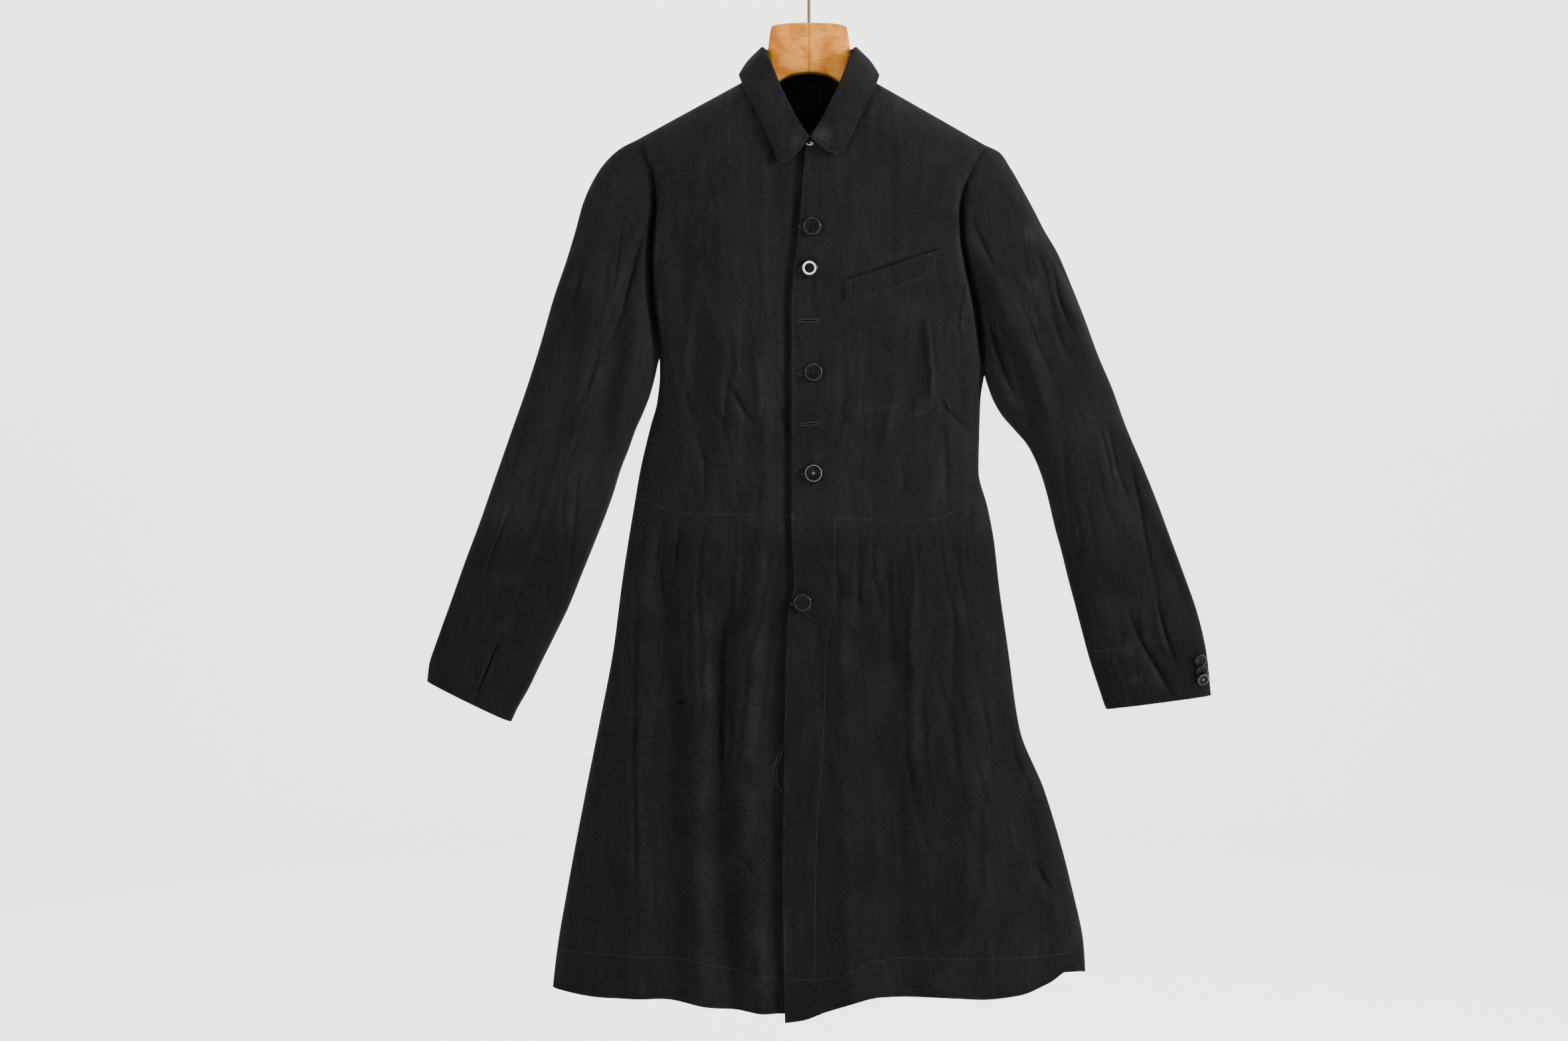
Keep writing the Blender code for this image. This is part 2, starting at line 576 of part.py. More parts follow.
def wall_mesh(name, grid, normals, thickness):
    """A closed wall of even thickness over a grid."""
    rows, cols = grid.shape[:2]
    outer = grid + normals * (thickness / 2)
    inner = grid - normals * (thickness / 2)
    points = np.concatenate([outer.reshape(-1, 3), inner.reshape(-1, 3)]) * MM
    behind = rows * cols

    def at(i, j):
        return i * cols + j

    faces = []
    for i in range(rows - 1):
        for j in range(cols - 1):
            quad = (at(i, j), at(i + 1, j), at(i + 1, j + 1), at(i, j + 1))
            faces.append(quad)
            faces.append(tuple(v + behind for v in reversed(quad)))
    rim = [at(0, j) for j in range(cols - 1)] + [at(i, cols - 1) for i in range(rows - 1)]
    rim += [at(rows - 1, j) for j in range(cols - 1, 0, -1)] + [at(i, 0) for i in range(rows - 1, 0, -1)]
    for a, b in zip(rim, rim[1:] + rim[:1]):
        faces.append((a, b, b + behind, a + behind))
    return mesh_from(name, points, faces)


def mesh_from(name, points, faces):
    """A triangulated mesh with its faces pointing out."""
    bm = bmesh.new()
    made = [bm.verts.new(p) for p in points]
    for face in faces:
        bm.faces.new([made[i] for i in face])
    bmesh.ops.triangulate(bm, faces=bm.faces[:], quad_method="SHORT_EDGE")
    bmesh.ops.recalc_face_normals(bm, faces=bm.faces[:])
    mesh = bpy.data.meshes.new(name)
    bm.to_mesh(mesh)
    bm.free()
    mesh.shade_smooth()
    mesh.set_sharp_from_angle(angle=math.radians(40))
    return mesh


def material(name, finish):
    made = bpy.data.materials.new(name)
    made.use_nodes = True
    shader = made.node_tree.nodes["Principled BSDF"]
    shader.inputs["Base Color"].default_value = (*finish.colour, 1.0)
    shader.inputs["Roughness"].default_value = finish.roughness
    shader.inputs["Metallic"].default_value = finish.metallic
    return made


def add_object(name, mesh, finish, parent):
    mesh.materials.append(material(f"{name}_finish", finish))
    made = bpy.data.objects.new(name, mesh)
    made.parent = parent
    bpy.context.scene.collection.objects.link(made)
    return made


def toward(grid, side_point):
    """Flips a grid whose normals face a point that lies behind it."""
    cross = np.cross(grid[1:, 1:] - grid[:-1, :-1], grid[:-1, 1:] - grid[1:, :-1])
    centre = (grid[1:, 1:] + grid[:-1, :-1]) / 2
    facing = np.sum(cross * (centre - np.asarray(side_point, float)))
    return grid if facing > 0 else grid[:, ::-1]


def add_panels(parent):
    """Body and sleeves, sewn edge to edge round shared seams."""
    grids = {}
    back = back_bodice()
    grids["bodice_back"] = body_grid(back, True, BACK_FOLDS)
    grids["skirt_back"] = body_grid(back_skirt(back), True, BACK_FOLDS)
    for side, word, folds in ((-1, "right", RIGHT_FRONT_FOLDS), (1, "left", LEFT_FRONT_FOLDS)):
        bodice = front_bodice(side)
        grids[f"bodice_front_{word}"] = body_grid(bodice, False, folds, under=side < 0)
        grids[f"skirt_front_{word}"] = body_grid(front_skirt(side, bodice), False, folds, under=side < 0)
        front_line = grids[f"bodice_front_{word}"][: ARMHOLE_ROWS + 1, -1]
        back_line = grids["bodice_back"][: ARMHOLE_ROWS + 1, 0 if side < 0 else -1]
        rings = sleeve_rings(side, front_line, back_line)
        upper, under = split_sleeve(rings, side)
        grids[f"sleeve_{word}_upper"] = upper
        grids[f"sleeve_{word}_under"] = under
    names = list(grids)
    facing = []
    for name in names:
        centre = np.array((0, 0, -600.0))
        if name.startswith("sleeve"):
            stations = SLEEVE_RIGHT if "right" in name else SLEEVE_LEFT
            facing.append(face_away_from_arm(grids[name], stations))
        else:
            facing.append(toward(grids[name], centre))
    for name, grid, normals in zip(names, facing, grid_normals(facing)):
        mesh = wall_mesh(name, pulled_in(grid, SEAM_GAP / 2), normals, CLOTH)
        add_object(name, mesh, DRILL, parent)


def face_away_from_arm(grid, stations):
    """Flips a sleeve grid whose normals face the middle line of the arm."""
    middles = np.array([((s.out_x + s.in_x) / 2, 0.0, (s.out_z + s.in_z) / 2) for s in stations])
    cross = np.cross(grid[1:, 1:] - grid[:-1, :-1], grid[:-1, 1:] - grid[1:, :-1])
    centre = (grid[1:, 1:] + grid[:-1, :-1]) / 2
    away = centre - ((middles[1:] + middles[:-1]) / 2)[:, None]
    return grid if np.sum(cross * away) > 0 else grid[:, ::-1]


def add_collar(parent):
    grid = collar_grid()
    fall = grid[:, 4:]
    cross = np.cross(fall[1:, 1:] - fall[:-1, :-1], fall[:-1, 1:] - fall[1:, :-1])
    middle = (fall[1:, 1:] + fall[:-1, :-1]) / 2 - np.array((0, 0, -200.0))
    if np.sum(cross * middle) < 0:
        grid = grid[::-1]
    normals = grid_normals([grid])[0]
    add_object("collar", wall_mesh("collar", grid, normals, CLOTH), DRILL, parent)


def front_surface(x, z):
    """Middle surface of the left front, folds and all."""
    return body_y(x, z, False) - edge_fade(x, z, LEFT_FRONT_FOLDS)


def add_welt(parent):
    corners = np.array([(p.x, p.z) for p in WELT], float)
    across = np.linspace(0, 1, WELT_COLUMNS + 1)
    down = np.linspace(0, 1, WELT_ROWS + 1)
    top = corners[0] + (corners[3] - corners[0]) * across[:, None]
    bottom = corners[1] + (corners[2] - corners[1]) * across[:, None]
    flat = top[None] + (bottom - top)[None] * down[:, None, None]
    lift = CLOTH / 2 + 0.35 + WELT_THICK / 2
    y = front_surface(flat[..., 0], flat[..., 1]) - lift
    grid = toward(np.stack([flat[..., 0], y, flat[..., 1]], axis=-1), (0, 0, -400.0))
    normals = grid_normals([grid])[0]
    add_object("breast_pocket_welt", wall_mesh("breast_pocket_welt", grid, normals, WELT_THICK), DRILL, parent)


def button_profile(radius, thick):
    """Half outline of a dished button, from the middle of its face to the middle of its back."""
    half = thick / 2
    return (
        (0.0, half - BUTTON_RIM), (0.58 * radius, half - BUTTON_RIM), (0.72 * radius, half),
        (0.88 * radius, half), (radius, 0.25 * half), (0.9 * radius, -0.6 * half),
        (0.6 * radius, -half), (0.0, -half),
    )


def turned_mesh(name, profile, sides):
    """A solid turned about the local Z axis."""
    points, rings = [], []
    for radius, height in profile:
        if radius == 0:
            rings.append([len(points)] * sides)
            points.append((0.0, 0.0, height))
            continue
        rings.append([len(points) + k for k in range(sides)])
        for k in range(sides):
            angle = 2 * math.pi * k / sides
            points.append((radius * math.cos(angle), radius * math.sin(angle), height))
    faces = []
    for above, below in zip(rings, rings[1:]):
        for k in range(sides):
            n = (k + 1) % sides
            corners = (above[k], below[k], below[n], above[n])
            faces.append(tuple(dict.fromkeys(corners)))
    return mesh_from(name, np.array(points) * MM, faces)


def add_button(name, centre, normal, radius, thick, parent):
    mesh = turned_mesh(name, button_profile(radius, thick), BUTTON_SIDES)
    made = add_object(name, mesh, HORN, parent)
    facing = bpy_vector(normal)
    made.location = [c * MM for c in centre]
    made.rotation_mode = "QUATERNION"
    made.rotation_quaternion = facing.to_track_quat("Z", "Y")
    return made


def bpy_vector(values):
    from mathutils import Vector

    return Vector([float(v) for v in values])


def add_front_buttons(parent):
    lift = CLOTH / 2 + 0.55 + BUTTON_THICK / 2
    for number, place in enumerate(FRONT_BUTTONS, start=1):
        x, z = np.array(place.x, float), np.array(place.z, float)
        y = float(front_surface(x, z)) - lift
        add_button(
            f"front_button_{number}", (place.x, y, place.z), (0, -1, 0), BUTTON_RADIUS, BUTTON_THICK, parent
        )


def cuff_point(place):
    """Point and outward normal on the front of the left cuff."""
    keys = np.arange(len(SLEEVE_LEFT))
    read = {name: float(smooth(keys, column(SLEEVE_LEFT, name), place.station)) for name in Station._fields}
    outer = np.array((read["out_x"], 0.0, read["out_z"]))
    chord = np.array((read["in_x"], 0.0, read["in_z"])) - outer
    turn = np.linspace(0, math.pi / 2, 60)
    shares = (1 - np.cos(turn)) / 2 + LEFT_SEAM_DRIFT * np.sin(turn) ** 2
    at = int(np.argmax(shares > place.share))
    section = outer + chord * shares[:, None]
    section[:, 1] = -read["front"] * np.sin(turn) ** 0.8
    tangent = section[at] - section[at - 1]
    down_arm = np.cross(chord, (0.0, 1.0, 0.0))
    normal = np.cross(tangent, down_arm)
    normal *= -np.sign(normal[1]) / np.linalg.norm(normal)
    return section[at], normal


def add_cuff_buttons(parent):
    tilt = math.radians(CUFF_BUTTON_TILT)
    for number, place in enumerate(CUFF_BUTTONS, start=1):
        point, normal = cuff_point(place)
        facing = normal * math.cos(tilt) + np.array((0.0, 0.0, -1.0)) * math.sin(tilt)
        centre = point + normal * CUFF_BUTTON_LIFT
        name = f"cuff_button_{number}"
        add_button(name, centre, facing, CUFF_BUTTON_RADIUS, CUFF_BUTTON_THICK, parent)


def wood_rows():
    """Sections of the hanger from the left tip to the right one, following the shoulder seams."""
    rows = []
    for side in (-1, 1):
        arm = []
        for k in range(ARM_STATIONS + 1):
            share = k / ARM_STATIONS
            x = ARM_START + (ARM_END - ARM_START) * share
            drop = max(x, NECK_HALF)
            top = float(ridge_z(np.array(side * (drop + 0.01)))) - ARM_SEAT
            height = ARM_HEIGHT_START + (ARM_HEIGHT_END - ARM_HEIGHT_START) * share
            depth = ARM_HALF_START + (ARM_HALF_END - ARM_HALF_START) * share
            arm.append(WoodRow(side * x, top, top - height, depth))
        block = [WoodRow(side * r.x, r.top, r.bottom, r.half_depth) for r in HANGER_BLOCK]
        rows.append(block + arm)
    return rows[0][::-1] + rows[1][1:]


def add_hanger(parent):
    """The wood, lofted through its sections, with a blind hole drilled for the wire."""
    rings = []
    points = []
    for row in wood_rows():
        edge, half, bottom = WOOD_EDGE, row.half_depth, row.bottom
        if abs(row.x) < ARM_START:
            crown = ((half - edge, 0.0), (half - edge * 0.3, edge * 0.3))
            full = edge
        else:
            crown, full = ARM_CROWN, ARM_SHOULDER_DROP
        side = [(y, row.top - drop) for y, drop in crown] + [(half, row.top - full)]
        side += [(half, bottom + edge), (half - edge * 0.3, bottom + edge * 0.3), (half - edge, bottom)]
        section = side + [(-y, z) for y, z in reversed(side)]
        rings.append(list(range(len(points), len(points) + len(section))))
        points += [(row.x, y, z) for y, z in section]
    faces = [tuple(rings[0]), tuple(reversed(rings[-1]))]
    count = len(rings[0])
    for a, b in zip(rings, rings[1:]):
        for k in range(count):
            n = (k + 1) % count
            faces.append((a[k], b[k], b[n], a[n]))
    made = add_object("hanger", mesh_from("hanger", np.array(points) * MM, faces), WOOD, parent)
    top = HANGER_BLOCK[0].top
    radius = HOOK_WIRE + HOOK_CLEARANCE
    profile = ((0.0, top + 6), (radius, top + 6), (radius, top - HOOK_SOCKET), (0.0, top - HOOK_SOCKET))
    drill = bpy.data.objects.new("hook_socket_cutter", turned_mesh("hook_socket_cutter", profile, HOOK_SIDES))
    drill.parent = parent
    drill.hide_render = True
    drill.display_type = "WIRE"
    bpy.context.scene.collection.objects.link(drill)
    cut = made.modifiers.new("hook socket", "BOOLEAN")
    cut.operation = "DIFFERENCE"
    cut.solver = "EXACT"
    cut.object = drill


def tube_mesh(name, path, radius, sides):
    """A capped tube of even radius along a path."""
    path = np.asarray(path, float)
    tangents = np.gradient(path, axis=0)
    tangents /= np.linalg.norm(tangents, axis=-1, keepdims=True)
    side = np.cross(tangents[0], (0.3, 1.0, 0.1))
    points, rings = [], []
    for centre, tangent in zip(path, tangents):
        side = side - tangent * np.dot(side, tangent)
        side /= np.linalg.norm(side)
        other = np.cross(tangent, side)
        rings.append([len(points) + k for k in range(sides)])
        for k in range(sides):
            angle = 2 * math.pi * k / sides
            points.append(centre + radius * (math.cos(angle) * side + math.sin(angle) * other))
    faces = [tuple(rings[0]), tuple(reversed(rings[-1]))]
    for a, b in zip(rings, rings[1:]):
        for k in range(sides):
            n = (k + 1) % sides
            faces.append((a[k], b[k], b[n], a[n]))
    return mesh_from(name, np.array(points) * MM, faces)


def hook_path():
    """Up out of the wood, then round the loop, whose inside crest is the origin."""
    crest = HOOK_WIRE
    middle = crest - HOOK_LOOP
    foot = HANGER_BLOCK[0].top - HOOK_SOCKET + 0.5
    neck = middle - HOOK_LOOP - 9
    path = [(0.0, 0.0, z) for z in np.linspace(foot, neck, 5)]
    for angle in np.linspace(-62, 215, 26):
        radians = math.radians(angle)
        path.append((HOOK_LOOP * math.cos(radians), 0.0, middle + HOOK_LOOP * math.sin(radians)))
    return path


def add_hooks(parent):
    add_object("hanger_hook", tube_mesh("hanger_hook", hook_path(), HOOK_WIRE, HOOK_SIDES), STEEL, parent)
    path = [(p.x, p.y, p.z) for p in COLLAR_HOOK_PATH]
    add_object("collar_hook", tube_mesh("collar_hook", path, COLLAR_HOOK_WIRE, 6), BRASS, parent)


def main():
    for old in list(bpy.data.objects):
        bpy.data.objects.remove(old, do_unlink=True)
    coat = bpy.data.objects.new("coat_on_hanger", None)
    bpy.context.scene.collection.objects.link(coat)
    add_panels(coat)
    add_collar(coat)
    add_welt(coat)
    add_front_buttons(coat)
    add_cuff_buttons(coat)
    add_hanger(coat)
    add_hooks(coat)


main()
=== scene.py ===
"""The finished look of a long black drill work coat, buttoned on a wooden hanger with a wire hook.

World frame: X to the right as seen from the front, Y away from the viewer, Z up, in metres, with the
origin at the inside crest of the hook. Sizes in the classes are in millimetres unless a name says
otherwise, and become metres when a mesh is made. "Right" and "left" are the wearer's.
"""

from __future__ import annotations

import logging
import math
from collections.abc import Iterable, Sequence
from dataclasses import dataclass, field
from enum import Enum
from typing import NamedTuple

import bmesh
import bpy
import numpy as np
from mathutils import Matrix, Vector
from mathutils.bvhtree import BVHTree


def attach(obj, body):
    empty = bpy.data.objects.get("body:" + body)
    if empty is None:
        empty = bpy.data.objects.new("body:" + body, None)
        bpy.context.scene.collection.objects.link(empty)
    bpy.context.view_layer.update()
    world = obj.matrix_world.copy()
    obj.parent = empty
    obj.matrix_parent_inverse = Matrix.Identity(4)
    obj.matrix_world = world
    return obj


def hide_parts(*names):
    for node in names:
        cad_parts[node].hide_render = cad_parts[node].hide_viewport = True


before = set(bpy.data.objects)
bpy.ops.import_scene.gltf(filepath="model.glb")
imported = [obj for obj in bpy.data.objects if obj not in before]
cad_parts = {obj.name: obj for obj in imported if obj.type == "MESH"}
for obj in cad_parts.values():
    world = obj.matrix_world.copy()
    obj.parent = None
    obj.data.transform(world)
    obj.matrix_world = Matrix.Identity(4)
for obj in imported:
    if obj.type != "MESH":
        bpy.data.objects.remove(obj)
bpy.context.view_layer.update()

LOG = logging.getLogger("coat")
MM = 0.001
ROOT_BODY = "root"

Array = np.ndarray


class Side(Enum):
    """The wearer's side, and its sign along X."""

    RIGHT = -1
    LEFT = 1


class Face(Enum):
    """Front or back of the flattened body."""

    FRONT = 0
    BACK = 1


class Point2(NamedTuple):
    """A place on the coat seen from the front, in millimetres."""

    x: float
    z: float


class PhotoPoint(NamedTuple):
    """A place in the photograph, in its 2361 x 1568 pixels."""

    column: float
    row: float


@dataclass(frozen=True)
class PhotoScale:
    """Turns a place in the photograph into millimetres on the coat's front."""

    mm_per_pixel: float = 0.7362
    middle_column: float = 1218.4
    origin_row: float = -75.8

    def point(self, place: PhotoPoint) -> Point2:
        """The (x, z) of a photographed place."""
        x = (place.column - self.middle_column) * self.mm_per_pixel
        return Point2(x, -(place.row - self.origin_row) * self.mm_per_pixel)

    def line(self, places: Iterable[tuple[float, float]]) -> Array:
        """The (x, z) rows of a photographed line."""
        return np.array([self.point(PhotoPoint(*place)) for place in places], float)


PHOTO = PhotoScale()


def smooth(keys: Sequence[float], values: Sequence[float], at: Array) -> Array:
    """Reads a table along a curve that never overshoots it.

    Args:
        keys: rising keys of the table.
        values: the value at each key.
        at: where to read it.

    Returns:
        The values at those places.
    """
    keys = np.asarray(keys, float)
    values = np.asarray(values, float)
    steps = np.diff(keys)
    slopes = np.diff(values) / steps
    tangents = np.zeros(len(keys))
    tangents[0], tangents[-1] = slopes[0], slopes[-1]
    for i in range(1, len(keys) - 1):
        before, after = slopes[i - 1], slopes[i]
        if before * after > 0:
            tangents[i] = 2 * before * after / (before + after)
    at = np.clip(np.asarray(at, float), keys[0], keys[-1])
    left = np.clip(np.searchsorted(keys, at, side="right") - 1, 0, len(steps) - 1)
    step = steps[left]
    u = (at - keys[left]) / step
    start = values[left] * (1 + 2 * u) * (1 - u) ** 2 + tangents[left] * step * u * (1 - u) ** 2
    end = values[left + 1] * u * u * (3 - 2 * u) + tangents[left + 1] * step * u * u * (u - 1)
    return start + end


def column(table: Sequence[NamedTuple], name: str) -> list[float]:
    """One named column of a table."""
    return [getattr(row, name) for row in table]


def ease(value: Array, start: float, end: float) -> Array:
    """0 at start, 1 at end, smooth between them."""
    u = np.clip((value - start) / (end - start), 0.0, 1.0)
    return u * u * (3 - 2 * u)


def along(line: Array, shares: Array) -> Array:
    """Points of an (x, z) line at shares of its length, rounded at its corners.

    Args:
        line: its points.
        shares: where, from 0 to 1.

    Returns:
        The points.
    """
    points = np.array(line, float)
    lengths = np.concatenate([[0], np.cumsum(np.hypot(*np.diff(points, axis=0).T))])
    at = np.asarray(shares) * lengths[-1]
    return np.stack([smooth(lengths, points[:, i], at) for i in (0, 1)], axis=-1)


def round_shares(count: int) -> Array:
    """Shares that crowd towards both ends, as points round a half circle seen from the side."""
    return (1 - np.cos(np.linspace(0, math.pi, count + 1))) / 2


def crowd_end(count: int, strength: float = 0.35) -> Array:
    """Shares that crowd towards the end, where the cloth turns round the side."""
    even = np.linspace(0, 1, count + 1)
    return even + strength * (np.sin(even * math.pi / 2) - even)


def coons(top: Array, bottom: Array, start: Array, end: Array) -> Array:
    """A grid filled in between four edges.

    Args:
        top, bottom: edges that run from start to end.
        start, end: edges that run from top to bottom.

    Returns:
        Rows of points from top to bottom.
    """
    rows = np.linspace(0, 1, len(start))[:, None, None]
    cols = np.linspace(0, 1, len(top))[None, :, None]
    ruled = (1 - rows) * top[None] + rows * bottom[None]
    ruled = ruled + (1 - cols) * start[:, None] + cols * end[:, None]
    high = (1 - cols) * top[0] + cols * top[-1]
    low = (1 - cols) * bottom[0] + cols * bottom[-1]
    return ruled - (1 - rows) * high - rows * low


def segment_distance(x: Array, z: Array, line: Array) -> tuple[Array, Array]:
    """Signed distance of points from a line of (x, z) points, and how far along it the nearest place is.

    Args:
        x, z: the points.
        line: the line's points.

    Returns:
        Distances, positive to the line's left, and shares of its length.
    """
    best = np.full(x.shape, 1e9)
    signed = np.zeros(x.shape)
    share = np.zeros(x.shape)
    lengths = np.hypot(*np.diff(line, axis=0).T)
    total, done = lengths.sum(), 0.0
    for (x0, z0), (x1, z1), length in zip(line, line[1:], lengths):
        dx, dz = (x1 - x0) / length, (z1 - z0) / length
        run = np.clip((x - x0) * dx + (z - z0) * dz, 0, length)
        off_x, off_z = x - x0 - dx * run, z - z0 - dz * run
        away = np.hypot(off_x, off_z)
        nearer = away < best
        best = np.where(nearer, away, best)
        signed = np.where(nearer, np.sign(dx * off_z - dz * off_x) * away, signed)
        share = np.where(nearer, (done + run) / total, share)
        done += length
    return signed, share


def armhole_valley(
    x: Array, z: Array, line: Array, sink: float = 12.0, half: float = 4.2, top_sink: float = 2.4,
    top_half: float = 2.6,
) -> Array:
    """How far the cloth sinks where a sleeve hangs against the front, along the armhole's line.

    Args:
        x, z: places seen from the front, in millimetres.
        line: the armhole, from the shoulder down.
        sink: depth of the valley.
        half: its half width.
        top_sink: depth of the narrow line at its top.
        top_half: that line's half width.

    Returns:
        The depth at each place.
    """
    away, share = segment_distance(x, z, line)
    reach = ease(share, 0.12, 0.4) * (1 - ease(share, 0.88, 1.0))
    top = top_sink * ease(share, 0.0, 0.05) * (1 - ease(share, 0.2, 0.4))
    return sink * reach * np.exp(-((away / half) ** 2)) + top * np.exp(-((away / top_half) ** 2))


def value_noise(x: Array, z: Array, scale: float, seed: int) -> Array:
    """Smooth noise from -1 to 1 with features of one size.

    Args:
        x, z: the places.
        scale: size of the features, in the same unit.
        seed: which pattern.

    Returns:
        The noise at each place.
    """
    size = 64
    table = np.random.default_rng(seed).uniform(-1, 1, (size, size))
    u, v = x / scale, z / scale
    i, j = np.floor(u).astype(int), np.floor(v).astype(int)
    fu, fv = u - i, v - j
    fu, fv = fu * fu * (3 - 2 * fu), fv * fv * (3 - 2 * fv)

    def at(a: Array, b: Array) -> Array:
        """Table value at whole places."""
        return table[a % size, b % size]

    low = at(i, j) * (1 - fu) + at(i + 1, j) * fu
    high = at(i, j + 1) * (1 - fu) + at(i + 1, j + 1) * fu
    return low * (1 - fv) + high * fv


def run_length(grid: Array, axis: int) -> Array:
    """How far each point lies from a grid's first edge, along the cloth.

    Args:
        grid: the points.
        axis: 0 for down the grid, 1 for across it.

    Returns:
        The lengths.
    """
    steps = np.linalg.norm(np.diff(grid, axis=axis), axis=-1)
    return np.pad(np.cumsum(steps, axis=axis), ((1, 0), (0, 0)) if axis == 0 else ((0, 0), (1, 0)))


class Section(NamedTuple):
    """The body's outer form at one height: its sides, and how far it stands to the front and back."""

    z: float
    left: float
    right: float
    front: float
    back: float


class Fold(NamedTuple):
    """A broad soft fold down the cloth: its height (negative is a trough), width and line."""

    height: float
    width: float
    points: tuple[tuple[float, float], ...]


class Crease(NamedTuple):
    """A small crease as photographed: height in millimetres, half width, and its line in pixels."""

    height: float
    width: float
    places: tuple[tuple[float, float], ...]


@dataclass(frozen=True)
class BodyForm:
    """The coat's flattened body as it hangs: sides, depth, shoulders and neck."""

    sections: tuple[Section, ...] = (
        Section(-1185, -289, 310, 48, 32),
        Section(-1113, -281, 307, 48, 32),
        Section(-1042, -269, 293, 47, 31),
        Section(-936, -249, 263, 45, 29),
        Section(-866, -235, 235, 43, 27),
        Section(-777, -218, 222, 40, 24),
        Section(-707, -209, 212, 37, 22),
        Section(-654, -201, 206, 35, 20),
        Section(-618, -195, 199, 34, 19),
        Section(-577, -188, 189, 35, 19),
        Section(-530, -177, 190, 37, 20),
        Section(-500, -169, 191, 38, 21),
        Section(-468, -166, 196, 39, 22),
        Section(-447, -166.6, 203, 40, 22),
        Section(-425, -176, 208, 41, 22),
        Section(-400, -187, 211, 42, 23),
        Section(-335, -214, 226, 43, 24),
        Section(-250, -228, 232, 43, 24),
        Section(-100, -226, 228, 42, 24),
    )
    neck_half: float = 53.0
    neck_side_z: float = -132.0
    neck_front_z: float = -215.0
    neck_back_z: float = -145.0
    dome_z: float = -111.0
    shoulder_round: float = 60.0
    seam_rest: float = 0.5
    power: float = 2.6
    root: float = 0.55
    right_slope: float = 0.545
    left_slope: float = 0.569

    def value(self, name: str, z: Array) -> Array:
        """One measure of the body at heights z."""
        return smooth(column(self.sections, "z"), column(self.sections, name), z)

    def ridge_z(self, x: Array) -> Array:
        """Height of the shoulder seams, closed by a low dome over the neck.

        Args:
            x: places across the body.

        Returns:
            Z at each place.
        """
        slope = np.where(x < 0, self.right_slope, self.left_slope)
        shoulder = self.neck_side_z - (np.abs(x) - self.neck_half) * slope
        dome = self.dome_z + (self.neck_side_z - self.dome_z) * (x / self.neck_half) ** 2
        return np.where(np.abs(x) > self.neck_half, shoulder, dome)

    def depth(self, x: Array, z: Array, face: Face) -> Array:
        """How far the smooth body stands from its middle plane.

        Args:
            x, z: places seen from the front.
            face: front or back.

        Returns:
            Y at each place, negative to the front.
        """
        left, right = self.value("left", z), self.value("right", z)
        across = np.clip(np.abs((x - (left + right) / 2) / ((right - left) / 2)), 0, 1)
        section = (1 - across**self.power) ** self.root
        down = np.clip((self.ridge_z(x) - z - self.seam_rest) / self.shoulder_round, 0, 1)
        rounding = np.sqrt(1 - (1 - down) ** 2)
        if face is Face.BACK:
            return self.value("back", z) * section * rounding
        return -self.value("front", z) * section * rounding

    def neck_front(self, outward: Array) -> Array:
        """Height of the neck seam in front, by distance from the middle."""
        rise = self.neck_side_z - self.neck_front_z
        return self.neck_front_z + rise * np.clip(outward / self.neck_half, 0, 1)

    def neck_back(self, x: Array) -> Array:
        """Height of the neck seam behind."""
        rise = self.neck_side_z - self.neck_back_z
        return self.neck_back_z + rise * (np.abs(x) / self.neck_half) ** 2

    def side_fade(self, x: Array, z: Array, reach: float = 26.0) -> Array:
        """0 at the body's sides and shoulder seams, where two panels meet, and 1 inside.

        Args:
            x, z: places seen from the front, in millimetres.
            reach: distance over which it rises.

        Returns:
            The share at each place.
        """
        left, right = self.value("left", z), self.value("right", z)
        inside = np.minimum(x - left, right - x)
        return ease(inside, 0, reach) * ease(self.ridge_z(x) - z, 2, 22)


